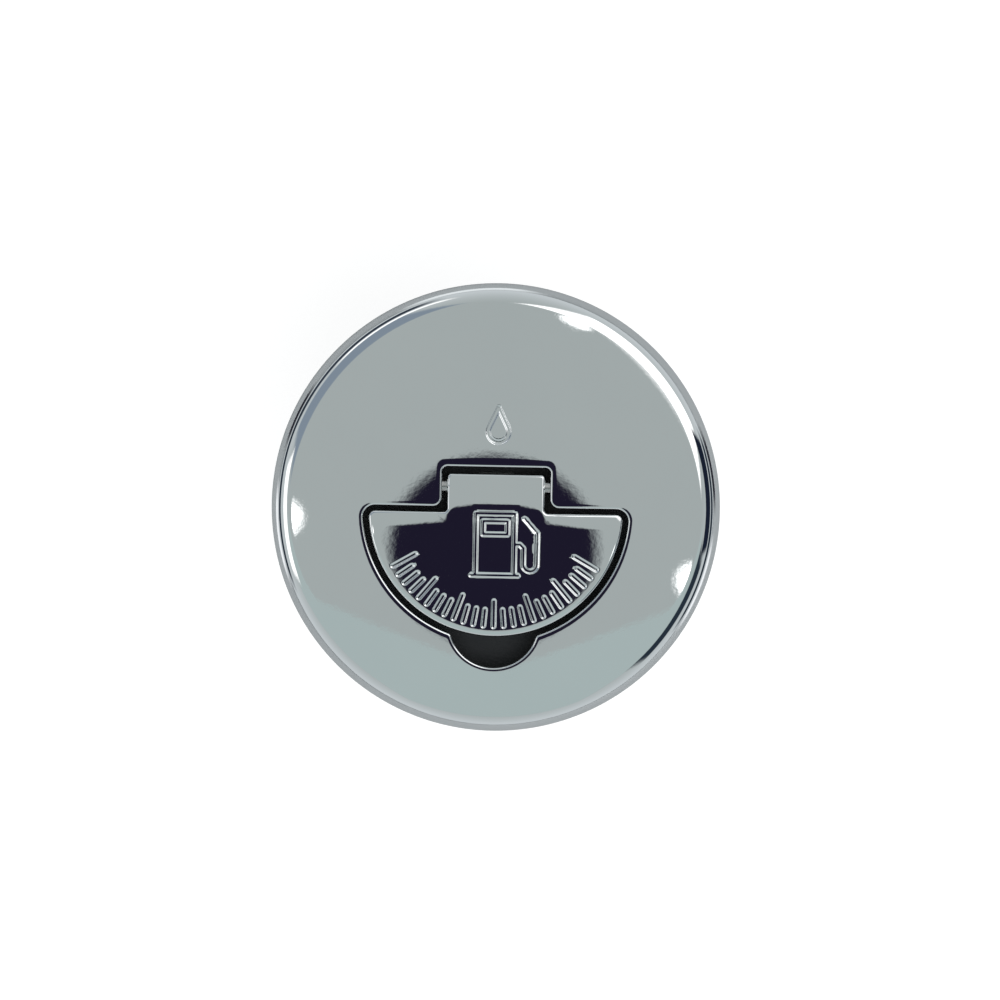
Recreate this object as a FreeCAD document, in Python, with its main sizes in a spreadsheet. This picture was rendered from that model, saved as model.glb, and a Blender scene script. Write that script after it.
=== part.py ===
import FreeCAD, Part

import math
import os
import re

import Sketcher

# Deck fill cap: a round chromed cap with a fold-out half-moon handle, screwed into a deck flange
# whose neck takes a filling hose. Millimetres. +Z points up out of the deck, +Y from the finger
# notch to the hinge, and the origin lies on the cap's axis in the deck's surface.

# alias, size, what it is
SIZES = (
    ("cap_radius", 50, "outer radius of the cap"),
    ("cap_height", 18.5, "top of the crown above the deck"),
    ("crown_rise", 3, "how much the crown rises inside the rolled rim"),
    ("rim_radius", 5.4, "radius of the rolled rim"),
    ("cover_wall", 1.6, "wall of the pressed cover"),
    ("cover_lift", 1, "gap between the cover's skirt and the deck"),
    ("opening_radius", 29.5, "round side of the opening for the handle"),
    ("wing_edge", 0.5, "straight side of the opening, from the axis"),
    ("tab_half_width", 12, "half the width of the opening's tab"),
    ("tab_edge", 9.4, "end of the opening's tab, from the axis"),
    ("wing_corner", 2.7, "corner between round and straight side"),
    ("neck_corner", 2, "corner between straight side and tab"),
    ("tab_corner", 1.15, "corner at the tab's end"),
    ("notch_radius", 9.8, "radius of the finger notch"),
    ("notch_place", 25.5, "centre of the finger notch, from the axis"),
    ("handle_gap", 1.2, "gap between the handle and the opening"),
    ("hinge_gap", 1.6, "gap behind the handle's tab"),
    ("handle_wall", 2.9, "thickness of the handle at the axis"),
    ("handle_sink", 0.15, "how far the handle lies below the crown"),
    ("hinge_place", 4.9, "hinge pin, from the axis"),
    ("hinge_depth", 3.5, "hinge pin below the top of the crown"),
    ("pin_radius", 1.5, "radius of the hinge pin"),
    ("pin_grip", 3.4, "length of pin held in the core at each end"),
    ("bush_wall", 0.6, "wall of a hinge bush"),
    ("bush_length", 4, "length of a hinge bush"),
    ("knuckle_wall", 0.8, "wall of the handle's knuckle round a bush"),
    ("running_fit", 0.05, "radial clearance of what turns"),
    ("slip_fit", 0.02, "radial clearance of what is pushed in"),
    ("core_radius", 43.5, "outer radius of the core"),
    ("core_floor", 2, "thickness of the core's floor"),
    ("core_wall", 1.6, "wall of the core round the notch"),
    ("channel_inner", 33, "inner radius of the core's screw channel"),
    ("channel_outer", 41.3, "outer radius of the core's screw channel"),
    ("well_margin", 0.6, "undercut of the well behind the opening"),
    ("ledge_spread", 20, "handle pads, sideways from the axis"),
    ("ledge_place", 16, "handle pads, from the axis to the notch"),
    ("ledge_radius", 2.6, "radius of the pillar under a handle pad"),
    ("pad_radius", 2.3, "radius of a handle pad"),
    ("pad_height", 1.4, "height of a handle pad"),
    ("rest_gap", 0.1, "gap between faces that rest on each other"),
    ("flange_radius", 45, "outer radius of the deck flange"),
    ("flange_wall", 4, "thickness of the deck flange"),
    ("gasket_wall", 1.5, "thickness of the gasket under the flange"),
    ("screw_circle", 39, "radius of the flange screws' circle"),
    ("screw_radius", 2.5, "radius of a flange screw's thread"),
    ("screw_shank", 2.6, "radius of a flange screw's plain shank, above the deck"),
    ("screw_head", 5, "radius of a flange screw's head"),
    ("screw_length", 25, "length of a flange screw"),
    ("hole_fit", 0.25, "radial clearance of a screw hole"),
    ("seat_radius", 31, "radius of the recess round the seal seat"),
    ("seat_depth", 2.1, "depth of the seal seat below the flange's top"),
    ("cap_gap", 0.5, "gap between the plug's shoulder and the flange"),
    ("thread_bore", 26, "bore of the neck's thread"),
    ("thread_length", 15.4, "depth of the neck's thread below the seat"),
    ("thread_pitch", 4, "pitch of the thread"),
    ("thread_depth", 1.8, "height of the plug's thread above its core"),
    ("thread_crest", 0.9, "width of the plug's thread at its crest"),
    ("thread_fit", 0.3, "radial clearance of the thread"),
    ("flank_fit", 0.2, "clearance beside the thread's flanks"),
    ("thread_turns", 1.75, "turns of thread on the plug"),
    ("thread_start", 8.9, "first turn of the plug's thread below the seat"),
    ("plug_length", 11.4, "length of the plug below the seat"),
    ("plug_cup", 20, "radius of the hollow in the plug"),
    ("plug_web", 4.5, "thickness of the plug's web"),
    ("shoulder_wall", 1.5, "thickness of the plug's shoulder"),
    ("shoulder_radius", 30.4, "radius of the plug's shoulder"),
    ("seal_section", 1.25, "radius of the O-ring's section"),
    ("neck_radius", 30, "outer radius of the neck"),
    ("neck_length", 26, "length of the neck below the deck"),
    ("spigot_radius", 25, "radius of the hose spigot"),
    ("spigot_length", 34, "length of the hose spigot"),
    ("pipe_bore", 21.5, "bore of the spigot"),
    ("groove_depth", 0.8, "depth of a hose groove"),
    ("groove_width", 3, "width of a hose groove"),
    ("groove_step", 6, "distance from one hose groove to the next"),
    ("core_screw_circle", 16, "radius of the core screws' circle"),
    ("core_screw", 1.5, "radius of a core screw"),
    ("core_screw_head", 3.2, "radius of a core screw's head"),
    ("cover_screw_circle", 37.3, "radius of the cover screws' circle"),
    ("cover_screw", 1.4, "radius of a cover screw"),
    ("cover_screw_head", 2.8, "radius of a cover screw's head"),
    ("boss_radius", 3.1, "radius of a screw boss"),
    ("boss_drop", 4, "how far the bosses hang below the plug's web"),
    ("swivel_radius", 2.5, "radius of the swivel screw's shoulder"),
    ("swivel_wall", 1.6, "thickness of the swivel eye"),
    ("swivel_reach", 10, "reach of the swivel eye from the axis"),
    ("swivel_drop", 9, "depth of the swivel eye"),
    ("swivel_width", 7, "width of the swivel eye"),
    ("washer_wall", 0.7, "thickness of the swivel's washer"),
    ("anchor_radius", 1.2, "radius of the lanyard pin"),
    ("anchor_place", 17, "lanyard pin, from the axis"),
    ("anchor_depth", 20, "lanyard pin below the deck"),
    ("bond_depth", 19.5, "bonding screw below the deck"),
    ("bond_flat", 1, "depth of the flat under the bonding washer"),
    ("bond_washer", 1, "thickness of the bonding washer"),
    ("bond_tag", 0.8, "thickness of the bonding tag"),
    ("bond_screw", 2.5, "radius of the bonding screw"),
    ("spring_wall", 0.5, "thickness of the detent spring"),
    ("spring_half_width", 4, "half the width of the detent spring"),
    ("spring_screw_place", 6.5, "spring screw, from the axis"),
    ("spring_screw", 1.2, "radius of the spring screw"),
)
NAMES = frozenset(name for name, _, _ in SIZES)

# Heights above the deck, worked out from the sizes.
FLANGE_TOP = "(gasket_wall + flange_wall)"
SEAT = f"({FLANGE_TOP} - seat_depth)"
SHOULDER = f"({FLANGE_TOP} + cap_gap)"
CORE_BOTTOM = f"({SHOULDER} + shoulder_wall)"
WELL_FLOOR = f"({CORE_BOTTOM} + core_floor)"
WEB_BOTTOM = f"({CORE_BOTTOM} - plug_web)"
BOSS_BOTTOM = f"({WEB_BOTTOM} - boss_drop)"
HINGE_HEIGHT = "(cap_height - hinge_depth)"
HANDLE_BOTTOM = "(cap_height - handle_sink - handle_wall)"
LEDGE_TOP = f"({HANDLE_BOTTOM} - rest_gap - pad_height)"
BUSH_RADIUS = "(pin_radius + running_fit + bush_wall)"
KNUCKLE_RADIUS = f"({BUSH_RADIUS} + slip_fit + knuckle_wall)"
SPIGOT_TOP = "(0 - neck_length - neck_radius + spigot_radius)"
SPIGOT_END = f"({SPIGOT_TOP} - spigot_length)"

# The crown is a sphere that runs tangent into the rolled rim.
RIM_PLACE = "(cap_radius - rim_radius)"
RIM_HEIGHT = "(cap_height - crown_rise - rim_radius)"
CROWN_RADIUS = f"(({RIM_PLACE}^2 + (crown_rise + rim_radius)^2 - rim_radius^2) / (2 * crown_rise))"
CROWN_CENTRE = f"(cap_height - {CROWN_RADIUS})"

FLANGE_SCREW_ANGLES = tuple(range(30, 390, 60))
COVER_SCREW_ANGLES = (18, 90, 162, 222, 318)
CORE_SCREW_ANGLES = (200, 245, 295, 340)
SIDES = (("left", -1), ("right", 1))
CUTS = ("PartDesign::Groove", "PartDesign::Pocket", "PartDesign::SubtractiveHelix")
HOSE_GROOVES = 3
CCW, CW = 1, -1

document = FreeCAD.newDocument("DeckFillCap")
sheet = document.addObject("Spreadsheet::Sheet", "Sizes")


def fill_sheet():
    """Write each size with its alias and its note."""
    for row, (name, size, note) in enumerate(SIZES, 1):
        sheet.set(f"A{row}", name)
        sheet.set(f"B{row}", str(size))
        sheet.set(f"C{row}", note)
        sheet.setAlias(f"B{row}", name)
    document.recompute()


def bound(text):
    """An expression on the sheet, from one that names sizes."""
    return re.sub(r"[a-z_]+", lambda m: f"Sizes.{m[0]}" if m[0] in NAMES else m[0], text)


def number(text):
    """The value of an expression that names sizes."""
    return float(sheet.evalExpression(bound(text)))


def new_body(label):
    """An empty body that can hold several separate solids."""
    body = document.addObject("PartDesign::Body", label)
    body.Label = label
    body.AllowCompound = True
    return body


def arc_between(start, end, radius, turn):
    """The short arc of a radius from one point to another, and whether it runs backwards."""
    first, last = (start, end) if turn == CCW else (end, start)
    chord = last - first
    middle = (first + last) * 0.5
    inward = FreeCAD.Vector(-chord.y, chord.x, 0).normalize()
    centre = middle + inward * math.sqrt(max(radius**2 - (chord.Length / 2) ** 2, 0))
    angles = [math.atan2(p.y - centre.y, p.x - centre.x) for p in (first, last)]
    circle = Part.Circle(centre, FreeCAD.Vector(0, 0, 1), radius)
    return Part.ArcOfCircle(circle, *angles)


def new_sketch(body, name, role, place):
    """A sketch on one of the body's own planes, moved by three expressions in its own axes."""
    plane = next(item for item in body.Origin.OriginFeatures if item.Role == role)
    sketch = body.newObject("Sketcher::SketchObject", name)
    sketch.AttachmentSupport = [(plane, "")]
    sketch.MapMode = "FlatFace"
    for axis, distance in zip("xyz", place):
        sketch.setExpression(f"AttachmentOffset.Base.{axis}", bound(distance))
    return sketch


def draw(sketch, outline):
    """Draw a closed outline. A corner is (x, y), or (x, y, radius, turn) where an arc leaves it."""
    corners = [FreeCAD.Vector(number(c[0]), number(c[1]), 0) for c in outline]
    tails = []
    heads = []
    for index, corner in enumerate(outline):
        start, end = corners[index], corners[(index + 1) % len(corners)]
        if len(corner) == 2:
            edge = sketch.addGeometry(Part.LineSegment(start, end))
            forward = True
        else:
            edge = sketch.addGeometry(arc_between(start, end, number(corner[2]), corner[3]))
            forward = corner[3] == CCW
        tails.append((edge, 1 if forward else 2))
        heads.append((edge, 2 if forward else 1))
    for index, corner in enumerate(outline):
        sketch.addConstraint(Sketcher.Constraint("Coincident", *heads[index - 1], *tails[index]))
        for kind, distance in zip(("DistanceX", "DistanceY"), corner[:2]):
            limit = Sketcher.Constraint(kind, -1, 1, *tails[index], number(distance))
            sketch.setExpression(f"Constraints[{sketch.addConstraint(limit)}]", bound(distance))
        if len(corner) > 2:
            limit = Sketcher.Constraint("Radius", index, number(corner[2]))
            sketch.setExpression(f"Constraints[{sketch.addConstraint(limit)}]", bound(corner[2]))


def spin(body, name, outline, x="0", y="0", z="0", axis="V_Axis", cut=False):
    """Turn an outline in the XZ plane about an upright (V_Axis) or crosswise (H_Axis) line."""
    sketch = new_sketch(body, name + "_sketch", "XZ_Plane", (x, z, f"0 - ({y})"))
    draw(sketch, outline)
    feature = body.newObject("PartDesign::Groove" if cut else "PartDesign::Revolution", name)
    feature.Profile = sketch
    feature.ReferenceAxis = (sketch, [axis])
    feature.Angle = 360
    return feature


def extrude(body, name, outline, start, length, role="XY_Plane", cut=False):
    """Extrude an outline from a height along its plane's normal."""
    sketch = new_sketch(body, name + "_sketch", role, ("0", "0", start))
    draw(sketch, outline)
    feature = body.newObject("PartDesign::Pocket" if cut else "PartDesign::Pad", name)
    feature.Profile = sketch
    feature.setExpression("Length", bound(length))
    feature.Reversed = cut
    return feature


def helix(body, name, outline, turns, cut=False):
    """Sweep an outline in the XZ plane up a right-hand helix about the axis."""
    sketch = new_sketch(body, name + "_sketch", "XZ_Plane", ("0", "0", "0"))
    draw(sketch, outline)
    kind = "PartDesign::SubtractiveHelix" if cut else "PartDesign::AdditiveHelix"
    feature = body.newObject(kind, name)
    feature.Profile = sketch
    feature.ReferenceAxis = (sketch, ["V_Axis"])
    feature.Mode = "pitch-turns-angle"
    feature.setExpression("Pitch", bound("thread_pitch"))
    feature.setExpression("Turns", bound(turns))
    return feature


def ring(inner, outer, bottom, top):
    """A rectangular section between two radii and two heights."""
    return [(inner, bottom), (outer, bottom), (outer, top), (inner, top)]


def polar(circle, degrees):
    """The x and y of a point on a circle round the axis."""
    return f"({circle}) * cos({degrees})", f"({circle}) * sin({degrees})"


def crown_at(radius, depth):
    """Height of the surface that lies a depth below the crown, at a radius."""
    return f"({CROWN_CENTRE} + sqrt(({CROWN_RADIUS} - ({depth}))^2 - ({radius})^2))"


def above_crown(radius, depth):
    """The section of everything above a surface that lies a depth below the crown."""
    ceiling = "(cap_height + 5)"
    return [
        ("0", f"cap_height - ({depth})", f"{CROWN_RADIUS} - ({depth})", CW),
        (radius, crown_at(radius, depth)),
        (radius, ceiling),
        ("0", ceiling),
    ]


def half_moon(grow, tip, corners):
    """The opening's outline, a half-moon with a tab, grown all round and at the tab's tip."""
    wing_corner, neck_corner, tab_corner = corners
    radius = f"(opening_radius + ({grow}))"
    edge = f"(wing_edge + ({grow}))"
    half = f"(tab_half_width + ({grow}))"
    end = f"(tab_edge + ({tip}))"
    centre_y = f"({edge} - {wing_corner})"
    centre_x = f"sqrt(({radius} - {wing_corner})^2 - {centre_y}^2)"
    reach = f"{radius} / ({radius} - {wing_corner})"
    touch_x, touch_y = f"({centre_x} * {reach})", f"({centre_y} * {reach})"
    return [
        (touch_x, touch_y, wing_corner, CCW),
        (centre_x, edge),
        (f"{half} + {neck_corner}", edge, neck_corner, CW),
        (half, f"{edge} + {neck_corner}"),
        (half, f"{end} - {tab_corner}", tab_corner, CCW),
        (f"{half} - {tab_corner}", end),
        (f"{tab_corner} - {half}", end, tab_corner, CCW),
        (f"0 - {half}", f"{end} - {tab_corner}"),
        (f"0 - {half}", f"{edge} + {neck_corner}", neck_corner, CW),
        (f"0 - {half} - {neck_corner}", edge),
        (f"0 - {centre_x}", edge, wing_corner, CCW),
        (f"0 - {touch_x}", touch_y, radius, CCW),
        ("0", f"0 - {radius}", radius, CCW),
    ]


def thread_ridge(centre, radius, fit):
    """The trapezium of the thread, sunk a little into its core, with its flanks moved out by a fit."""
    crest = f"(thread_crest / 2 + ({fit}))"
    root = f"({crest} + (thread_depth + 0.5) * tan(30))"
    core = f"({radius} - 0.5)"
    tip = f"({radius} + thread_depth)"
    return [
        (core, f"{centre} - {root}"),
        (tip, f"{centre} - {crest}"),
        (tip, f"{centre} + {crest}"),
        (core, f"{centre} + {root}"),
    ]


def countersunk(shank, head, top, end):
    """The section of a countersunk screw or of its hole, from its end up to its head's flat face."""
    rim = f"({top} - 0.2)"
    return [
        ("0", end),
        (shank, end),
        (shank, f"{rim} - ({head} - ({shank}))"),
        (head, rim),
        (head, top),
        ("0", top),
    ]


def with_recess(screw, radius):
    """A screw's section with a pointed driver recess in its head."""
    top = screw[-1][1]
    return screw[:-1] + [(radius, top), ("0", f"{top} - {radius}")]


def crosswise(body, name, radius, start, end, y, z, cut=True):
    """A round bar or hole along X."""
    bar = [(start, "0"), (end, "0"), (end, radius), (start, radius)]
    return spin(body, name, bar, y=y, z=z, axis="H_Axis", cut=cut)


def make_deck_flange():
    """Cast flange with the threaded neck and the grooved hose spigot."""
    body = new_body("deck_flange")
    spin(body, "casting", [
        ("seat_radius", FLANGE_TOP),
        ("flange_radius - 1", FLANGE_TOP),
        ("flange_radius", f"{FLANGE_TOP} - 1"),
        ("flange_radius", "gasket_wall"),
        ("neck_radius", "gasket_wall"),
        ("neck_radius", "0 - neck_length"),
        ("spigot_radius", SPIGOT_TOP),
        ("spigot_radius", f"{SPIGOT_END} + 1"),
        ("spigot_radius - 1", SPIGOT_END),
        ("pipe_bore", SPIGOT_END),
        ("pipe_bore", f"{SEAT} - thread_length - thread_bore + pipe_bore"),
        ("thread_bore", f"{SEAT} - thread_length"),
        ("thread_bore", f"{SEAT} - 1"),
        ("thread_bore + 1", SEAT),
        ("seat_radius", SEAT),
    ])
    for index in range(HOSE_GROOVES):
        top = f"({SPIGOT_TOP} - groove_width - {index} * groove_step)"
        spin(body, f"hose_groove_{index}", [
            ("spigot_radius - groove_depth", f"{top} - groove_width"),
            ("spigot_radius + 1", f"{top} - groove_width"),
            ("spigot_radius + 1", top),
            ("spigot_radius", top),
        ], cut=True)
    hole = countersunk("screw_shank + hole_fit", "screw_head + hole_fit", FLANGE_TOP, "0")
    for angle in FLANGE_SCREW_ANGLES:
        spin(body, f"screw_hole_{angle}", hole, *polar("screw_circle", angle), cut=True)
    side = "(0 - neck_radius - 1)"
    depth = "(0 - bond_depth)"
    crosswise(body, "bonding_flat", "screw_head + 1", side, "bond_flat - neck_radius", "0", depth)
    crosswise(body, "bonding_hole", "bond_screw + slip_fit", side, "7 - neck_radius", "0", depth)
    crosswise(body, "lanyard_hole", "anchor_radius + slip_fit", "1 - anchor_place", "neck_radius",
              "anchor_place", "0 - anchor_depth")
    groove = thread_ridge(f"({SEAT} - thread_start - thread_pitch)", "thread_bore", "flank_fit")
    helix(body, "neck_thread", groove, "thread_turns + 2", cut=True)
    return body


def make_flange_gasket():
    """Rubber gasket between the flange and the deck."""
    body = new_body("flange_gasket")
    spin(body, "washer", ring("neck_radius + 1", "flange_radius", "0", "gasket_wall"))
    hole = ring("0", "screw_shank + 2 * hole_fit", "0 - 1", "gasket_wall + 1")
    for angle in FLANGE_SCREW_ANGLES:
        spin(body, f"screw_hole_{angle}", hole, *polar("screw_circle", angle), cut=True)
    return body


def make_flange_screws():
    """Countersunk screws that hold the flange to the deck."""
    body = new_body("flange_screws")
    end = f"({FLANGE_TOP} - screw_length)"
    upper = countersunk("screw_shank", "screw_head", f"({FLANGE_TOP} - 0.1)", "0")
    thread = [("0", end), ("screw_radius", end), ("screw_radius", "0")]
    screw = with_recess(thread + upper[1:], "(screw_head / 3)")
    for angle in FLANGE_SCREW_ANGLES:
        spin(body, f"screw_{angle}", screw, *polar("screw_circle", angle))
    return body


def make_lanyard_pin():
    """Cross pin in the neck that a cap's lanyard hooks on."""
    body = new_body("lanyard_pin")
    crosswise(body, "pin", "anchor_radius", "1.5 - anchor_place", "neck_radius - 6", "anchor_place",
              "0 - anchor_depth", cut=False)
    return body


def make_bonding_parts():
    """Washer, earth tag and screw on the side of the neck."""
    face = "(bond_flat - neck_radius)"
    washer_face = f"({face} - bond_washer)"
    tag_face = f"({washer_face} - bond_tag)"
    height = "(0 - bond_depth)"
    hole = "bond_screw + slip_fit"

    washer = new_body("bonding_washer")
    crosswise(washer, "disc", "screw_head", washer_face, face, "0", height, cut=False)
    crosswise(washer, "hole", hole, "0 - neck_radius - 5", face, "0", height)

    tag = new_body("bonding_tag")
    crosswise(tag, "eye", "screw_head", tag_face, washer_face, "0", height, cut=False)
    extrude(tag, "tail", [
        ("0 - bond_screw", height),
        ("0 - bond_screw", f"{height} - 2 * screw_head"),
        ("bond_screw", f"{height} - 2 * screw_head"),
        ("bond_screw", height),
    ], tag_face, "bond_tag", role="YZ_Plane")
    crosswise(tag, "hole", hole, "0 - neck_radius - 5", face, "0", height)

    screw = new_body("bonding_screw")
    crosswise(screw, "shank", "bond_screw", tag_face, "6 - neck_radius", "0", height, cut=False)
    crosswise(screw, "head", "screw_head - 0.8", f"{tag_face} - 3", tag_face, "0", height, cut=False)
    crosswise(screw, "socket", "bond_screw / 2", f"{tag_face} - 4", f"{tag_face} - 1", "0", height)
    return [washer, tag, screw]


def make_threaded_plug():
    """Plug that screws into the neck, with a shoulder over the O-ring and bosses for its screws."""
    body = new_body("threaded_plug")
    core = "(thread_bore - thread_fit)"
    bottom = f"({SEAT} - plug_length)"
    collar = "(thread_bore + thread_depth - 2 * thread_fit)"
    spin(body, "cup", [
        ("0", CORE_BOTTOM),
        ("shoulder_radius", CORE_BOTTOM),
        ("shoulder_radius", SHOULDER),
        (collar, SHOULDER),
        (collar, f"{SEAT} + 0.2"),
        (core, f"{SEAT} + 0.2"),
        (core, f"{bottom} + 1.2"),
        (f"{core} - 1.2", bottom),
        ("plug_cup", bottom),
        ("plug_cup", WEB_BOTTOM),
        ("0", WEB_BOTTOM),
    ])
    helix(body, "thread", thread_ridge(f"({SEAT} - thread_start)", core, "0"), "thread_turns")
    boss = ring("0", "boss_radius", BOSS_BOTTOM, f"{WEB_BOTTOM} + 0.5")
    pilot = ring("0", "core_screw", f"{BOSS_BOTTOM} - 1", f"{CORE_BOTTOM} + 1")
    for angle in CORE_SCREW_ANGLES:
        place = polar("core_screw_circle", angle)
        spin(body, f"boss_{angle}", boss, *place)
        spin(body, f"pilot_{angle}", pilot, *place, cut=True)
    spin(body, "swivel_boss", ring("0", "boss_radius + 1", BOSS_BOTTOM, f"{WEB_BOTTOM} + 0.5"))
    spin(body, "swivel_pilot", ring("0", "core_screw", f"{BOSS_BOTTOM} - 1", f"{WEB_BOTTOM} + 2"), cut=True)
    spring_pilot = ring("0", "spring_screw", f"{WEB_BOTTOM} + 1", f"{CORE_BOTTOM} + 1")
    spin(body, "spring_pilot", spring_pilot, y="0 - spring_screw_place", cut=True)
    return body


def make_cap_o_ring():
    """O-ring squeezed between the plug's shoulder and the flange's seat."""
    body = new_body("cap_o_ring")
    inner = "(thread_bore + thread_depth - 2 * thread_fit + rest_gap + seal_section)"
    section = "(seal_section - rest_gap / 2)"
    middle = f"(({SEAT} + {SHOULDER}) / 2)"
    lower, upper = f"{middle} - {section}", f"{middle} + {section}"
    spin(body, "seal", [
        (inner, lower, section, CCW),
        (f"{inner} + {section}", middle, section, CCW),
        (inner, upper, section, CCW),
        (f"{inner} - {section}", middle, section, CCW),
    ])
    return body


def make_cap_core():
    """Moulded core: floor, handle well, hinge saddles and the channel for the cover's bosses."""
    body = new_body("cap_core")
    spin(body, "block", ring("0", "core_radius", CORE_BOTTOM, "cap_height"))
    channel = ring("channel_inner", "channel_outer", WELL_FLOOR, "cap_height + 1")
    spin(body, "channel", channel, cut=True)
    notch = "0 - notch_place"
    wall = ring("0", "notch_radius + well_margin + core_wall", WELL_FLOOR, "cap_height")
    spin(body, "notch_wall", wall, y=notch)
    spin(body, "crown_trim", above_crown("core_radius + 1", "cover_wall + rest_gap / 2"), cut=True)
    seal_seat = [
        ("channel_outer - 1", crown_at("channel_outer - 1", "cover_wall + 0.9")),
        ("core_radius + 1", crown_at("core_radius + 1", "cover_wall + 0.9")),
        ("core_radius + 1", "cap_height"),
        ("channel_outer - 1", "cap_height"),
    ]
    spin(body, "seal_seat", seal_seat, cut=True)
    corners = ("(wing_corner + well_margin)", "(neck_corner - well_margin)", "tab_corner")
    well = half_moon("well_margin", "well_margin", corners)
    extrude(body, "well", well, WELL_FLOOR, "cap_height", cut=True)
    well_notch = ring("0", "notch_radius + well_margin", WELL_FLOOR, "cap_height + 1")
    spin(body, "well_notch", well_notch, y=notch, cut=True)
    ledge = ring("0", "ledge_radius", f"{WELL_FLOOR} - 0.5", LEDGE_TOP)
    for name, side in SIDES:
        spin(body, f"ledge_{name}", ledge, f"{side} * ledge_spread", "0 - ledge_place")
    grip = "(tab_half_width + well_margin + pin_grip)"
    fit = "(pin_radius + slip_fit)"
    extrude(body, "saddles", [
        (f"hinge_place - {fit}", HINGE_HEIGHT),
        (f"hinge_place + {fit}", HINGE_HEIGHT),
        (f"hinge_place + {fit}", "cap_height + 1"),
        (f"hinge_place - {fit}", "cap_height + 1"),
    ], f"0 - {grip}", f"2 * {grip}", role="YZ_Plane", cut=True)
    crosswise(body, "saddle_floor", fit, f"0 - {grip}", grip, "hinge_place", HINGE_HEIGHT)
    hollow_side, hollow_end = "(tab_half_width + 5)", "(channel_inner - 6)"
    extrude(body, "hollow", [
        (f"0 - {hollow_side}", "tab_edge + 3.5"),
        (hollow_side, "tab_edge + 3.5"),
        (hollow_side, hollow_end),
        (f"0 - {hollow_side}", hollow_end),
    ], f"{CORE_BOTTOM} - 1", "cap_height - 11", cut=True)
    hole = countersunk("core_screw + slip_fit", "core_screw_head + slip_fit", WELL_FLOOR, "0")
    for angle in CORE_SCREW_ANGLES:
        spin(body, f"core_screw_hole_{angle}", hole, *polar("core_screw_circle", angle), cut=True)
    hole = ring("0", "cover_screw + hole_fit", f"{CORE_BOTTOM} - 1", f"{WELL_FLOOR} + 1")
    for angle in COVER_SCREW_ANGLES:
        spin(body, f"cover_screw_hole_{angle}", hole, *polar("cover_screw_circle", angle), cut=True)
    hole = ring("0", "spring_screw + slip_fit", f"{CORE_BOTTOM} - 1", f"{WELL_FLOOR} + 1")
    spin(body, "spring_screw_hole", hole, y="0 - spring_screw_place", cut=True)
    return body


def make_core_screws():
    """Countersunk screws from the well's floor into the plug."""
    body = new_body("core_screws")
    screw = countersunk("core_screw - slip_fit", "core_screw_head - slip_fit", WELL_FLOOR,
                        f"{BOSS_BOTTOM} + 0.5")
    screw = with_recess(screw, "(core_screw_head / 3)")
    for angle in CORE_SCREW_ANGLES:
        spin(body, f"screw_{angle}", screw, *polar("core_screw_circle", angle))
    return body


def make_cap_cover():
    """Pressed and chromed cover with the handle opening and its screw bosses."""
    body = new_body("cap_cover")
    reach = f"({CROWN_RADIUS} - rim_radius)"
    rise = f"({RIM_HEIGHT} - {CROWN_CENTRE})"
    inner = f"({CROWN_RADIUS} - cover_wall)"
    spin(body, "shell", [
        ("0", "cap_height", CROWN_RADIUS, CW),
        (f"{CROWN_RADIUS} * {RIM_PLACE} / {reach}", f"{CROWN_CENTRE} + {CROWN_RADIUS} * {rise} / {reach}",
         "rim_radius", CW),
        ("cap_radius", RIM_HEIGHT),
        ("cap_radius", "cover_lift"),
        ("cap_radius - cover_wall", "cover_lift"),
        ("cap_radius - cover_wall", RIM_HEIGHT, "rim_radius - cover_wall", CCW),
        (f"{inner} * {RIM_PLACE} / {reach}", f"{CROWN_CENTRE} + {inner} * {rise} / {reach}", inner, CCW),
        ("0", "cap_height - cover_wall"),
    ])
    below = "(cap_height - crown_rise - cover_wall - 1)"
    opening = half_moon("0", "0", ("wing_corner", "neck_corner", "tab_corner"))
    extrude(body, "opening", opening, below, "cap_height", cut=True)
    spin(body, "finger_notch", ring("0", "notch_radius", below, "cap_height + 1"), y="0 - notch_place",
         cut=True)
    top = f"({crown_at('cover_screw_circle', '0.6 * cover_wall')})"
    boss = [
        ("cover_screw", WELL_FLOOR),
        ("boss_radius", WELL_FLOOR),
        ("boss_radius", top),
        ("0", top),
        ("0", f"{top} - 1.5"),
        ("cover_screw", f"{top} - 1.5"),
    ]
    for angle in COVER_SCREW_ANGLES:
        spin(body, f"boss_{angle}", boss, *polar("cover_screw_circle", angle))
    return body


def make_cover_screws():
    """Pan-head screws from under the core into the cover's bosses."""
    body = new_body("cover_screws")
    end = f"({crown_at('cover_screw_circle', '0.6 * cover_wall')} - 2)"
    head_top = f"({CORE_BOTTOM} - 1.1)"
    screw = [
        ("0", f"{head_top} + 0.6"),
        ("cover_screw / 2", head_top),
        ("cover_screw_head", head_top),
        ("cover_screw_head", CORE_BOTTOM),
        ("cover_screw - slip_fit", CORE_BOTTOM),
        ("cover_screw - slip_fit", end),
        ("0", end),
    ]
    for angle in COVER_SCREW_ANGLES:
        spin(body, f"screw_{angle}", screw, *polar("cover_screw_circle", angle))
    return body


def make_cover_seal():
    """Flat rubber ring between the core's rim and the cover."""
    body = new_body("cover_seal")
    inner, outer = "(channel_outer + 0.2)", "(core_radius - 0.2)"
    spin(body, "seal", [
        (inner, crown_at(inner, "cover_wall + 0.8")),
        (outer, crown_at(outer, "cover_wall + 0.8")),
        (outer, crown_at(outer, "cover_wall + rest_gap / 2")),
        (inner, crown_at(inner, "cover_wall + rest_gap / 2")),
    ])
    return body


def make_hinge_pin():
    """Pin in the core's saddles, on which the handle turns."""
    body = new_body("hinge_pin")
    half = "(tab_half_width + well_margin + pin_grip - rest_gap)"
    crosswise(body, "pin", "pin_radius", f"0 - {half}", half, "hinge_place", HINGE_HEIGHT, cut=False)
    return body


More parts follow.
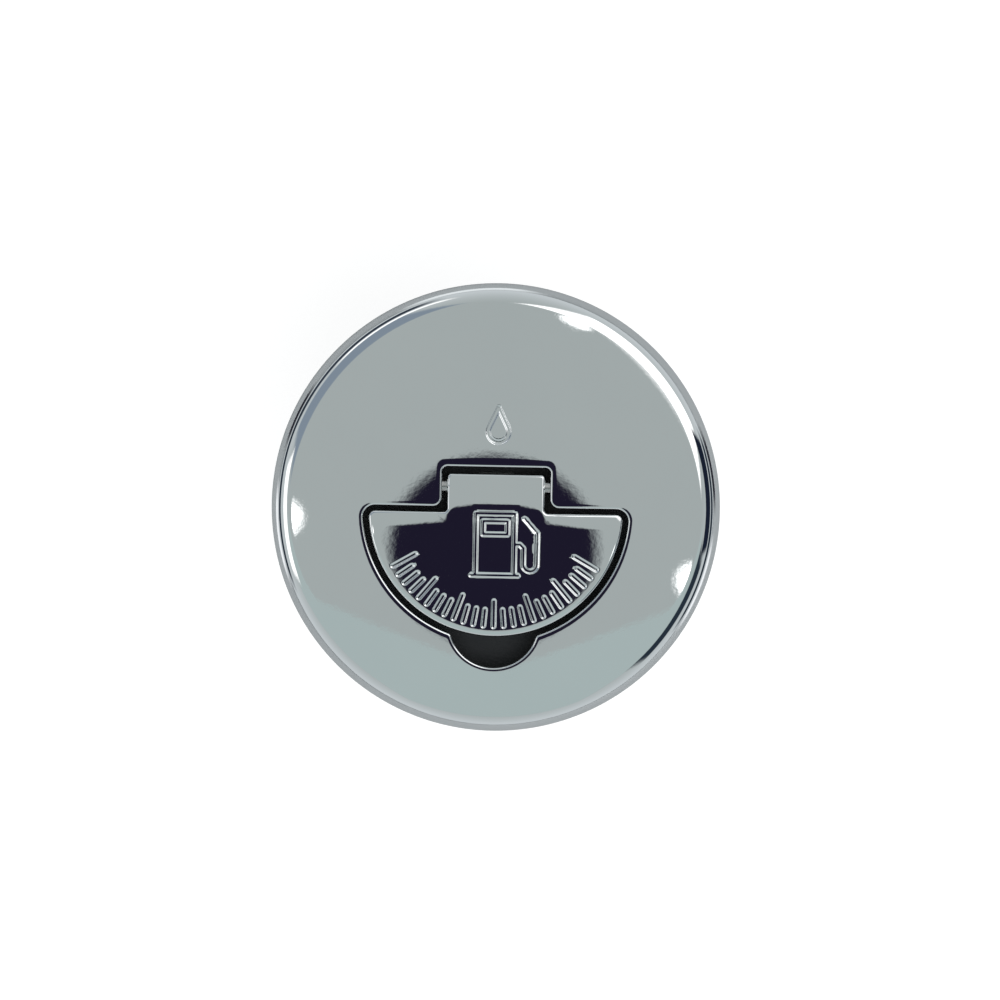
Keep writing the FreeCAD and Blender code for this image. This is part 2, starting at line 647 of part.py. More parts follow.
def make_handle_pads():
    """Rubber pads that the folded handle rests on."""
    body = new_body("handle_pads")
    pad = ring("0", "pad_radius", LEDGE_TOP, f"{LEDGE_TOP} + pad_height")
    for name, side in SIDES:
        spin(body, f"pad_{name}", pad, f"{side} * ledge_spread", "0 - ledge_place")
    return body


def make_detent_spring():
    """Leaf spring under the handle's knuckle."""
    body = new_body("detent_spring")
    floor = f"({WELL_FLOOR} + slip_fit)"
    bend = "(spring_half_width - spring_screw_place)"
    crest = f"({HINGE_HEIGHT} - {KNUCKLE_RADIUS} - 4 * rest_gap - spring_wall)"
    tip = "(hinge_place + spring_half_width - 1)"
    lower = [
        ("0 - spring_screw_place - spring_half_width", floor),
        (bend, floor),
        ("hinge_place", crest),
        (tip, f"{crest} - 1"),
    ]
    upper = [(y, f"{z} + spring_wall") for y, z in reversed(lower)]
    extrude(body, "leaf", lower + upper, "0 - spring_half_width", "2 * spring_half_width",
            role="YZ_Plane")
    hole = ring("0", "spring_screw + slip_fit", f"{WELL_FLOOR} - 1", f"{WELL_FLOOR} + 2")
    spin(body, "screw_hole", hole, y="0 - spring_screw_place", cut=True)
    return body


def make_spring_screw():
    """Pan-head screw that holds the detent spring."""
    body = new_body("spring_screw")
    seat = f"({WELL_FLOOR} + slip_fit + spring_wall)"
    spin(body, "screw", [
        ("0", f"{WEB_BOTTOM} + 1.5"),
        ("spring_screw - slip_fit", f"{WEB_BOTTOM} + 1.5"),
        ("spring_screw - slip_fit", seat),
        ("spring_screw * 2", seat),
        ("spring_screw * 2", f"{seat} + 1.1"),
        ("spring_screw / 2", f"{seat} + 1.1"),
        ("0", f"{seat} + 0.6"),
    ], y="0 - spring_screw_place")
    return body


def make_swivel_parts():
    """Eye for a lanyard, and the washer and shoulder screw it hangs by under the plug."""
    gap = "(1.5 * rest_gap)"
    washer_bottom = f"({BOSS_BOTTOM} - washer_wall)"
    eye_top = f"({washer_bottom} - {gap})"
    eye_bottom = f"({eye_top} - swivel_wall)"
    shoulder_end = f"({eye_bottom} - {gap})"

    washer = new_body("swivel_washer")
    spin(washer, "disc", ring("swivel_radius + slip_fit", "swivel_radius * 2", washer_bottom, BOSS_BOTTOM))

    screw = new_body("swivel_screw")
    spin(screw, "turned", [
        ("0", f"{shoulder_end} - 1"),
        ("1", f"{shoulder_end} - 2"),
        ("swivel_radius * 1.8", f"{shoulder_end} - 2"),
        ("swivel_radius * 1.8", shoulder_end),
        ("swivel_radius", shoulder_end),
        ("swivel_radius", BOSS_BOTTOM),
        ("core_screw - slip_fit", BOSS_BOTTOM),
        ("core_screw - slip_fit", f"{WEB_BOTTOM} + 1.5"),
        ("0", f"{WEB_BOTTOM} + 1.5"),
    ])

    eye = new_body("swivel_eye")
    spin(eye, "plate", ring("0", "swivel_radius * 2.2", eye_bottom, eye_top))
    half = "(swivel_width / 2)"
    inside = "(swivel_reach - swivel_wall)"
    extrude(eye, "arm", [
        ("0", f"0 - {half}"),
        ("swivel_reach", f"0 - {half}"),
        ("swivel_reach", half),
        ("0", half),
    ], eye_bottom, "swivel_wall")
    extrude(eye, "leg", [
        (f"0 - {half}", f"{eye_top} - swivel_drop"),
        (half, f"{eye_top} - swivel_drop"),
        (half, eye_top),
        (f"0 - {half}", eye_top),
    ], inside, "swivel_wall", role="YZ_Plane")
    spin(eye, "pivot_hole", ring("0", "swivel_radius + 2 * running_fit", f"{eye_bottom} - 1",
         f"{eye_top} + 1"), cut=True)
    crosswise(eye, "lanyard_hole", "swivel_width / 4", inside + " - 1", "swivel_reach + 1", "0",
              f"({eye_top} - swivel_drop + {half})")
    return [washer, screw, eye]


def make_fold_handle():
    """Half-moon handle with its crowned top, its knuckle and the bore for the bushes."""
    body = new_body("fold_handle")
    corners = ("(wing_corner - handle_gap)", "(neck_corner - handle_gap)", "(tab_corner - 0.35)")
    outline = half_moon("0 - handle_gap", "0 - hinge_gap", corners)
    extrude(body, "plate", outline, HANDLE_BOTTOM, "handle_wall + 1")
    spin(body, "crown_trim", above_crown("opening_radius + 5", "handle_sink"), cut=True)
    half = "(tab_half_width - handle_gap)"
    crosswise(body, "knuckle", KNUCKLE_RADIUS, f"0 - {half}", half, "hinge_place", HINGE_HEIGHT, cut=False)
    outer = f"({BUSH_RADIUS} + slip_fit)"
    seat = f"({half} - bush_length)"
    spin(body, "bush_bore", [
        (f"0 - {half} - 1", "0"),
        (f"{half} + 1", "0"),
        (f"{half} + 1", outer),
        (seat, outer),
        (seat, "pin_radius + 4 * running_fit"),
        (f"0 - {seat}", "pin_radius + 4 * running_fit"),
        (f"0 - {seat}", outer),
        (f"0 - {half} - 1", outer),
    ], y="hinge_place", z=HINGE_HEIGHT, axis="H_Axis", cut=True)
    return body


def make_hinge_bushes():
    """Plastic bushes between the hinge pin and the handle's knuckle."""
    body = new_body("hinge_bushes")
    outer_end = "(tab_half_width - handle_gap)"
    inner_end = f"({outer_end} - bush_length)"
    inner = "pin_radius + running_fit"
    for name, side in SIDES:
        spin(body, f"bush_{name}", [
            (f"{side} * {outer_end}", inner),
            (f"{side} * {inner_end}", inner),
            (f"{side} * {inner_end}", BUSH_RADIUS),
            (f"{side} * {outer_end}", BUSH_RADIUS),
        ], y="hinge_place", z=HINGE_HEIGHT, axis="H_Axis")
    return body


def make_all():
    """Every sub-part, from the deck up."""
    return [
        make_deck_flange(),
        make_flange_gasket(),
        make_flange_screws(),
        make_lanyard_pin(),
        *make_bonding_parts(),
        make_threaded_plug(),
        make_cap_o_ring(),
        make_cap_core(),
        make_core_screws(),
        make_cap_cover(),
        make_cover_screws(),
        make_cover_seal(),
        make_hinge_pin(),
        make_handle_pads(),
        make_detent_spring(),
        make_spring_screw(),
        *make_swivel_parts(),
        make_fold_handle(),
        make_hinge_bushes(),
    ]


def check(parts):
    """Stop if any object failed, or any sub-part's shape is missing or not valid."""
    for item in document.Objects:
        if {"Invalid", "Error"} & set(item.State):
            raise RuntimeError(f"{item.Label} failed: {item.State}")
    for part in parts:
        if part.Shape.isNull() or not part.Shape.isValid() or not part.Shape.Solids:
            raise RuntimeError(f"{part.Label} has no valid shape")
        for feature in part.Group:
            if feature.TypeId in CUTS:
                check_cut(feature)


def check_cut(feature):
    """Stop if a cut took nothing away."""
    before = feature.BaseFeature.Shape.Volume
    if before - feature.Shape.Volume < 1e-3:
        raise RuntimeError(f"{feature.Label} cuts nothing")


def write(parts):
    """Write each sub-part to its own file and say how big it is."""
    os.makedirs("parts", exist_ok=True)
    for part in parts:
        part.Shape.exportStep(f"parts/{part.Label}.step")
        print(f"{part.Label}: {len(part.Shape.Solids)} solids, {part.Shape.Volume:.1f} mm3")


fill_sheet()
sub_parts = make_all()
document.recompute()
check(sub_parts)
write(sub_parts)
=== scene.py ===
import logging
import math
from collections.abc import Callable, Iterable, Sequence
from dataclasses import dataclass, field
from enum import Enum

import bmesh
import bpy
import numpy as np
from mathutils import Matrix, Vector


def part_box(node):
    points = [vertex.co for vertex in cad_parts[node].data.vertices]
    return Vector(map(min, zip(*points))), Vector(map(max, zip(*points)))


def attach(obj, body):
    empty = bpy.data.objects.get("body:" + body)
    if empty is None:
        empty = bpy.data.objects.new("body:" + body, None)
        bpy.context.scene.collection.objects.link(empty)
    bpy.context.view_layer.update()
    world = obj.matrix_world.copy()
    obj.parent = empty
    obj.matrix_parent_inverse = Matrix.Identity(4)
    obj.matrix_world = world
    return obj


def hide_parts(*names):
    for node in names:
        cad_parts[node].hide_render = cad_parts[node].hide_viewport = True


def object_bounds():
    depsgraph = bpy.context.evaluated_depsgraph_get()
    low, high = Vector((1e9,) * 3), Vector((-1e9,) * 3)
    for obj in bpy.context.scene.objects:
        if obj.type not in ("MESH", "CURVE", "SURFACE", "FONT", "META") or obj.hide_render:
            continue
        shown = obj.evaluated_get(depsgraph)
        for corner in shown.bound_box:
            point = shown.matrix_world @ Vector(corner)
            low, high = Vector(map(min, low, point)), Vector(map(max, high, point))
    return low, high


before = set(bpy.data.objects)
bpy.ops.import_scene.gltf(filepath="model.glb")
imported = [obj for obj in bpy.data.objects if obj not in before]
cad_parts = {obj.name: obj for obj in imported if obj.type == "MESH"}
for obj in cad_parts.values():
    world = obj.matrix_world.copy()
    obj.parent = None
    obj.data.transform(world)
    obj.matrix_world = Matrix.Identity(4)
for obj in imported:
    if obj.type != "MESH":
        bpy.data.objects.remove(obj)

MM = 0.001
CAD_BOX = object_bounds()
log = logging.getLogger("deck_fill_cap")
Point = tuple[float, float]
SOFT_ANGLE = 40  # degrees; an edge that turns more than this stays sharp


class Body(Enum):
    """The bodies that pieces ride on."""

    CAP = "cap"
    HANDLE = "handle"


# ---------------------------------------------------------------------------------------------
# Finishes
# ---------------------------------------------------------------------------------------------


class NodeBench:
    """A material's node tree, with short ways to add and link nodes."""

    def __init__(self, name: str) -> None:
        """Start a material with a Principled shader wired to its output.

        Args:
            name: the material's name.
        """
        self.material = bpy.data.materials.new(name)
        self.material.use_nodes = True
        self.tree = self.material.node_tree
        self.shader = self.tree.nodes["Principled BSDF"]
        self.coordinates = self.tree.nodes.new("ShaderNodeTexCoord").outputs["Object"]

    def add(self, kind: str, **settings: object) -> bpy.types.Node:
        """Add a node and set its properties and its input values.

        Args:
            kind: the node's type name.
            settings: properties of the node, or inputs by name with _ for spaces.

        Returns:
            The new node.
        """
        node = self.tree.nodes.new(kind)
        for key, value in settings.items():
            title = key.replace("_", " ")
            if title in node.inputs:
                node.inputs[title].default_value = value
            else:
                setattr(node, key, value)
        return node

    def link(self, source: bpy.types.NodeSocket, target: bpy.types.NodeSocket) -> None:
        """Join two sockets."""
        self.tree.links.new(source, target)

    def noise(self, scale: float, detail: float,
              stretch: Sequence[float] = (1, 1, 1)) -> bpy.types.NodeSocket:
        """Noise over the object's own coordinates.

        Args:
            scale: features per metre.
            detail: octaves of finer noise.
            stretch: scale of each axis.

        Returns:
            The noise's value socket.
        """
        mapping = self.add("ShaderNodeMapping")
        mapping.inputs["Scale"].default_value = stretch
        texture = self.add("ShaderNodeTexNoise", Scale=scale, Detail=detail)
        self.link(self.coordinates, mapping.inputs["Vector"])
        self.link(mapping.outputs["Vector"], texture.inputs["Vector"])
        return texture.outputs["Fac"]

    def ramp(self, value: bpy.types.NodeSocket, low: float, high: float) -> bpy.types.NodeSocket:
        """Map a value from 0..1 to low..high and return the new socket.

        Args:
            value: the value to map.
            low: what 0 becomes.
            high: what 1 becomes.

        Returns:
            The mapped value's socket.
        """
        node = self.add("ShaderNodeMapRange", To_Min=low, To_Max=high)
        self.link(value, node.inputs["Value"])
        return node.outputs["Result"]

    def mix(self, value: bpy.types.NodeSocket, low: Sequence[float],
            high: Sequence[float]) -> bpy.types.NodeSocket:
        """Blend two colours by a value and return the colour's socket.

        Args:
            value: the share of the high colour.
            low: the colour at 0.
            high: the colour at 1.

        Returns:
            The colour's socket.
        """
        node = self.add("ShaderNodeMix", data_type="RGBA")
        colours = [s for s in node.inputs if s.type == "RGBA"]
        colours[0].default_value = (*low, 1)
        colours[1].default_value = (*high, 1)
        self.link(value, node.inputs["Factor"])
        return next(s for s in node.outputs if s.type == "RGBA")

    def bump(self, height: bpy.types.NodeSocket, distance: float,
             under: bpy.types.NodeSocket | None = None) -> bpy.types.NodeSocket:
        """Turn a height into a surface normal.

        Args:
            height: the height's socket, 0 to 1.
            distance: metres that a height of 1 stands for.
            under: a coarser bump's normal to build on.

        Returns:
            The normal's socket.
        """
        node = self.add("ShaderNodeBump", Strength=1.0, Distance=distance)
        self.link(height, node.inputs["Height"])
        if under:
            self.link(under, node.inputs["Normal"])
        self.link(node.outputs["Normal"], self.shader.inputs["Normal"])
        return node.outputs["Normal"]


@dataclass(frozen=True)
class Metal:
    """A bare or plated metal, polished, satin or turned."""

    name: str
    colour: tuple[float, float, float]
    smudge: tuple[float, float, float]
    polish: float
    dullness: float
    ripple: float = 0.0
    ripple_scale: float = 500.0
    grain: float = 0.0
    grain_scale: float = 4000.0
    grain_stretch: tuple[float, float, float] = (1, 1, 1)

    def make(self) -> bpy.types.Material:
        """Build the material: handling marks in roughness and colour, and a faint surface wave.

        Returns:
            The finished material.
        """
        bench = NodeBench(self.name)
        bench.shader.inputs["Metallic"].default_value = 1.0
        marks = bench.noise(90, 5)
        bench.link(bench.mix(marks, self.colour, self.smudge), bench.shader.inputs["Base Color"])
        gloss = bench.ramp(bench.noise(240, 6), self.polish, self.dullness)
        bench.link(gloss, bench.shader.inputs["Roughness"])
        wave = None
        if self.ripple:
            wave = bench.bump(bench.noise(self.ripple_scale, 2), self.ripple)
        if self.grain:
            bench.bump(bench.noise(self.grain_scale, 3, self.grain_stretch), self.grain, wave)
        return bench.material


@dataclass(frozen=True)
class Moulding:
    """A moulded plastic or rubber with a fine grain."""

    name: str
    colour: tuple[float, float, float]
    worn: tuple[float, float, float]
    roughness: float
    grain: float
    grain_scale: float = 3000.0

    def make(self) -> bpy.types.Material:
        """Build the material: uneven colour, uneven gloss and a moulded grain.

        Returns:
            The finished material.
        """
        bench = NodeBench(self.name)
        bench.link(bench.mix(bench.noise(160, 6), self.colour, self.worn), bench.shader.inputs["Base Color"])
        gloss = bench.ramp(bench.noise(500, 4), self.roughness - 0.08, self.roughness + 0.08)
        bench.link(gloss, bench.shader.inputs["Roughness"])
        coarse = bench.bump(bench.noise(self.grain_scale / 6, 2), self.grain)
        bench.bump(bench.noise(self.grain_scale, 4), self.grain / 2, coarse)
        return bench.material


@dataclass(frozen=True)
class Finishes:
    """Every finish of the cap and its flange."""

    bright_chrome: Metal = Metal(
        "bright_chrome", (0.93, 0.94, 0.94), (0.90, 0.915, 0.92), 0.012, 0.035,
        ripple=0.0000035, ripple_scale=900)
    satin_chrome: Metal = Metal(
        "satin_chrome", (0.74, 0.75, 0.76), (0.66, 0.67, 0.68), 0.16, 0.30,
        ripple=0.00003, ripple_scale=260, grain=0.000012, grain_scale=2600)
    stainless: Metal = Metal(
        "stainless", (0.66, 0.65, 0.64), (0.55, 0.54, 0.53), 0.16, 0.34,
        grain=0.00001, grain_scale=1500, grain_stretch=(1, 1, 9))
    brass: Metal = Metal(
        "brass", (0.74, 0.56, 0.28), (0.55, 0.38, 0.18), 0.22, 0.45, grain=0.00001)
    black_moulding: Moulding = Moulding(
        "black_moulding", (0.009, 0.010, 0.012), (0.016, 0.017, 0.019), 0.42, 0.00003)
    rubber: Moulding = Moulding(
        "rubber", (0.018, 0.018, 0.019), (0.035, 0.034, 0.033), 0.66, 0.00005, 2200)
    white_moulding: Moulding = Moulding(
        "white_moulding", (0.78, 0.76, 0.70), (0.70, 0.67, 0.60), 0.38, 0.00001)

    def made(self) -> dict[str, bpy.types.Material]:
        """Build every finish once and return the materials by slot name."""
        return {name: getattr(self, name).make() for name in self.__dataclass_fields__}


# ---------------------------------------------------------------------------------------------
# Outlines in plan
# ---------------------------------------------------------------------------------------------


@dataclass(frozen=True)
class ArcSpan:
    """A stretch of an outline that turns about a centre, counter-clockwise when end > start."""

    centre: Point
    radius: float
    start: float
    end: float

    def points(self, step: float) -> list[Point]:
        """Points along the arc, both ends included, about a step apart.

        Args:
            step: the spacing wanted, in metres.

        Returns:
            The arc's points in order.
        """
        count = max(4, math.ceil(abs(self.end - self.start) * self.radius / step))
        angles = (self.start + (self.end - self.start) * i / count for i in range(count + 1))
        x, y = self.centre
        return [(x + self.radius * math.cos(a), y + self.radius * math.sin(a)) for a in angles]

    def mirrored(self) -> "ArcSpan":
        """The same arc on the other side of the Y axis, run backwards."""
        centre = (-self.centre[0], self.centre[1])
        return ArcSpan(centre, self.radius, math.pi - self.end, math.pi - self.start)


@dataclass(frozen=True)
class HalfMoon:
    """The half-moon with a tab that both the opening and the handle follow."""

    radius: float = 29.5 * MM
    wing_edge: float = 0.5 * MM
    tab_half: float = 12.0 * MM
    tab_edge: float = 9.4 * MM
    wing_corner: float = 2.7 * MM
    neck_corner: float = 2.0 * MM
    tab_corner: float = 1.15 * MM
    notch_radius: float = 0.0
    notch_place: float = 25.5 * MM
    notch_corner: float = 1.1 * MM

    def right_side(self) -> list[ArcSpan]:
        """The arcs of the right half, counter-clockwise from the lowest point to the tab.

        Returns:
            The arcs in order.
        """
        centre_y = self.wing_edge - self.wing_corner
        centre_x = math.sqrt((self.radius - self.wing_corner) ** 2 - centre_y**2)
        wing = math.atan2(centre_y, centre_x)
        arcs = []
        start = -math.pi / 2
        if self.notch_radius:
            near, far = self.notch_radius + self.notch_corner, self.radius + self.notch_corner
            y = (near**2 - far**2 - self.notch_place**2) / (2 * self.notch_place)
            x = math.sqrt(far**2 - y**2)
            start = math.atan2(y, x)
            leave = math.atan2(y + self.notch_place, x)
            arcs.append(ArcSpan((0, -self.notch_place), self.notch_radius, -math.pi / 2, leave))
            arcs.append(ArcSpan((x, y), self.notch_corner, leave + math.pi, start + math.pi))
        arcs.append(ArcSpan((0, 0), self.radius, start, wing))
        arcs.append(ArcSpan((centre_x, centre_y), self.wing_corner, wing, math.pi / 2))
        arcs.append(ArcSpan(
            (self.tab_half + self.neck_corner, self.wing_edge + self.neck_corner), self.neck_corner,
            -math.pi / 2, -math.pi))
        arcs.append(ArcSpan(
            (self.tab_half - self.tab_corner, self.tab_edge - self.tab_corner), self.tab_corner,
            0, math.pi / 2))
        return arcs

    def points(self, step: float) -> list[Point]:
        """The closed outline, counter-clockwise, as points about a step apart.

        Args:
            step: the spacing wanted, in metres.

        Returns:
            The outline's points, with the first not repeated.
        """
        right = self.right_side()
        arcs = right + [arc.mirrored() for arc in reversed(right)]
        outline: list[Point] = []
        for arc in arcs:
            for point in arc.points(step):
                self._run_to(outline, point, step)
        while math.dist(outline[0], outline[-1]) < step / 50:
            outline.pop()
        return outline

    @staticmethod
    def _run_to(outline: list[Point], point: Point, step: float) -> None:
        """Add a point, with points a step apart on the straight run that leads to it.

        Args:
            outline: the points so far, added to.
            point: the point to reach.
            step: the spacing wanted, in metres.
        """
        if outline:
            last = outline[-1]
            length = math.dist(last, point)
            if length < step / 50:
                return
            count = 2 * math.ceil(length / (2 * step))
            for i in range(1, count):
                outline.append((last[0] + (point[0] - last[0]) * i / count,
                                last[1] + (point[1] - last[1]) * i / count))
        outline.append(point)


@dataclass(frozen=True)
class Crown:
    """The cap's top: a shallow sphere that runs tangent into a rolled rim."""

    cap_radius: float
    top: float
    rise: float = 3.0 * MM
    rim_radius: float = 5.4 * MM

    @property
    def rim_place(self) -> float:
        """Distance of the rolled rim's centre from the axis."""
        return self.cap_radius - self.rim_radius

    @property
    def rim_height(self) -> float:
        """Height of the rolled rim's centre."""
        return self.top - self.rise - self.rim_radius

    @property
    def radius(self) -> float:
        """Radius of the sphere."""
        drop = self.rise + self.rim_radius
        return (self.rim_place**2 + drop**2 - self.rim_radius**2) / (2 * self.rise)

    @property
    def tangent(self) -> float:
        """Angle, from level, at which the sphere meets the rolled rim."""
        return math.atan2(self.rim_height - self.top + self.radius, self.rim_place)

    def height(self, x: float, y: float, depth: float = 0.0) -> float:
        """Height of the surface that lies a depth below the crown."""
        return self.top - self.radius + math.sqrt((self.radius - depth) ** 2 - x * x - y * y)


# ---------------------------------------------------------------------------------------------
# Modelling
# ---------------------------------------------------------------------------------------------


class Bench:
    """Ways of working on one mesh object with Blender's own operators."""

    @staticmethod
    def clear() -> None:
        """Leave edit mode and deselect everything."""
        if bpy.context.object and bpy.context.object.mode != "OBJECT":
            bpy.ops.object.mode_set(mode="OBJECT")
        bpy.ops.object.select_all(action="DESELECT")

    @staticmethod
    def take(piece: bpy.types.Object) -> None:
        """Make a piece the only selected and the active object.

        Args:
            piece: the object to work on.
        """
        Bench.clear()
        piece.select_set(True)
        bpy.context.view_layer.objects.active = piece

    @staticmethod
    def added(name: str) -> bpy.types.Object:
        """Name the object that an operator has just added, and set its place in its mesh.

        Args:
            name: the object's new name.

        Returns:
            The named object.
        """
        piece = bpy.context.object
        piece.name = name
        piece.data.name = name
        bpy.ops.object.transform_apply(location=True, rotation=True, scale=True)
        return piece

    @staticmethod
    def smooth(piece: bpy.types.Object) -> None:
        """Shade a piece smooth, with the sharp edges kept."""
        Bench.take(piece)
        bpy.ops.object.shade_smooth_by_angle(angle=math.radians(SOFT_ANGLE))

    @staticmethod
    def cut(piece: bpy.types.Object, cutter: bpy.types.Object, how: str = "DIFFERENCE") -> None:
        """Cut, join or intersect a piece with another, which is then removed.

        Args:
            piece: the piece that is kept.
            cutter: the object that it is cut with.
            how: DIFFERENCE, UNION or INTERSECT.
        """
        Bench.take(piece)
        boolean = piece.modifiers.new("cut", "BOOLEAN")
        boolean.operation = how
        boolean.solver = "EXACT"
        boolean.object = cutter
        bpy.ops.object.modifier_apply(modifier=boolean.name)
        bpy.data.objects.remove(cutter)


class Loft:
    """A skin drawn from loop to loop, each loop extruded from the last and set in its place."""

    def __init__(self, name: str, first: Sequence[Vector]) -> None:
        """Start with a mesh circle whose points are set on the first loop.

        Args:
            name: the new object's name.
            first: the first loop's points.
        """
        Bench.clear()
        bpy.ops.mesh.primitive_circle_add(vertices=len(first), radius=MM)
        self.piece = Bench.added(name)
        bpy.ops.object.mode_set(mode="EDIT")
        self.mesh = bmesh.from_edit_mesh(self.piece.data)
        self.rank = self.mesh.verts.layers.int.new("rank")
        self.ring = self.mesh.verts.layers.int.new("ring")
        self.mesh.verts.ensure_lookup_table()
        for index, vert in enumerate(self.mesh.verts):
            vert[self.rank] = index
            vert.co = first[index]
        self.rings = 0
        bpy.ops.mesh.select_all(action="SELECT")

    def on(self, loop: Sequence[Vector]) -> None:
        """Extrude the open loop and set the new points on a loop of as many points.

        Args:
            loop: the new points' places, in the first loop's order.
        """
        bpy.ops.mesh.extrude_edges_move()
        self.mesh = bmesh.from_edit_mesh(self.piece.data)
        self.rank = self.mesh.verts.layers.int["rank"]
        self.ring = self.mesh.verts.layers.int["ring"]
        self.rings += 1
        for vert in self.mesh.verts:
            if vert.select:
                vert.co = loop[vert[self.rank]]
                vert[self.ring] = self.rings

    def bridge(self) -> None:
        """Join the first and the last loop, which closes the skin."""
        self._select(lambda vert: vert[self.ring] in (0, self.rings))
        bpy.ops.mesh.bridge_edge_loops()

    def fill(self, ring: int) -> None:
        """Fill the open loop at one end with a grid of faces."""
        self._select(lambda vert: vert[self.ring] == ring)
        bpy.ops.mesh.fill_grid(use_interp_simple=True)

    def _select(self, wanted: Callable[[bmesh.types.BMVert], bool]) -> None:
        """Select the open edges whose two ends are on one ring and are wanted.

        Args:
            wanted: tells whether a point is wanted.
        """
        bpy.ops.mesh.select_all(action="DESELECT")
        bpy.ops.mesh.select_mode(type="EDGE")
        self.mesh = bmesh.from_edit_mesh(self.piece.data)
        self.ring = self.mesh.verts.layers.int["ring"]
        for edge in self.mesh.edges:
            same = edge.verts[0][self.ring] == edge.verts[1][self.ring]
            ends = wanted(edge.verts[0]) and wanted(edge.verts[1])
            edge.select = bool(same and ends and edge.is_boundary)
        bmesh.update_edit_mesh(self.piece.data)

    def finish(self) -> bpy.types.Object:
        """Leave edit mode with every face outwards, and return the piece.

        Returns:
            The finished object.
        """
        bpy.ops.mesh.select_all(action="SELECT")
        bpy.ops.mesh.normals_make_consistent(inside=False)
        bpy.ops.object.mode_set(mode="OBJECT")
        for name in ("rank", "ring"):
            self.piece.data.attributes.remove(self.piece.data.attributes[name])
        return self.piece


HUB = (0.0, -9.0 * MM)


def offset(outline: Sequence[Point], distance: float) -> list[Point]:
    """Move a counter-clockwise outline sideways, outwards for a positive distance.

    Args:
        outline: the points to move.
        distance: how far, in metres.

    Returns:
        The moved points.
    """
    moved = []
    for index, here in enumerate(outline):
        before, after = outline[index - 1], outline[(index + 1) % len(outline)]
        length = math.dist(before, after)
        across = ((after[1] - before[1]) / length, (before[0] - after[0]) / length)
        moved.append((here[0] + across[0] * distance, here[1] + across[1] * distance))
    return moved


def between(near: Sequence[Point], far: Sequence[Point], share: float) -> list[Point]:
    """Points that lie a share of the way from one outline to another."""
    return [(a[0] + (b[0] - a[0]) * share, a[1] + (b[1] - a[1]) * share) for a, b in zip(near, far)]


def on_circle(outline: Sequence[Point], radius: float) -> list[Point]:
    """Where the rays from the hub through an outline's points meet a circle round the axis.

    Args:
        outline: the points that the rays pass through.
        radius: the circle's radius.

    Returns:
        One point for each ray.
    """
    met = []
    for x, y in outline:
        length = math.dist((x, y), HUB)
        ray = ((x - HUB[0]) / length, (y - HUB[1]) / length)
        along = HUB[0] * ray[0] + HUB[1] * ray[1]
        reach = -along + math.sqrt(along**2 - HUB[0] ** 2 - HUB[1] ** 2 + radius**2)
        met.append((HUB[0] + ray[0] * reach, HUB[1] + ray[1] * reach))
    return met


def on_outline(outline: Sequence[Point], shape: Sequence[Point]) -> list[Point]:
    """Where the rays from the hub through an outline's points meet another outline.

    Args:
        outline: the points that the rays pass through.
        shape: the outline that the rays meet.

    Returns:
        One point for each ray.
    """
    met = []
    for x, y in outline:
        ray = (x - HUB[0], y - HUB[1])
        for a, b in zip(shape, [*shape[1:], shape[0]]):
            run = (b[0] - a[0], b[1] - a[1])
            side = ray[0] * run[1] - ray[1] * run[0]
            if abs(side) < 1e-15:
                continue
            start = (a[0] - HUB[0], a[1] - HUB[1])
            reach = (start[0] * run[1] - start[1] * run[0]) / side
            share = (start[0] * ray[1] - start[1] * ray[0]) / side
            if reach > 0 and -1e-9 <= share <= 1:
                met.append((HUB[0] + ray[0] * reach, HUB[1] + ray[1] * reach))
                break
    return met


def quarter(steps: int) -> Iterable[tuple[float, float]]:
    """Cosines and sines of the angles from 0 to 90 degrees, the first left out.

    Args:
        steps: how many angles.

    Returns:
        Pairs of a cosine and a sine.
    """
    for i in range(1, steps + 1):
        yield math.cos(math.pi / 2 * i / steps), math.sin(math.pi / 2 * i / steps)


# ---------------------------------------------------------------------------------------------
# The cap's cover
# ---------------------------------------------------------------------------------------------


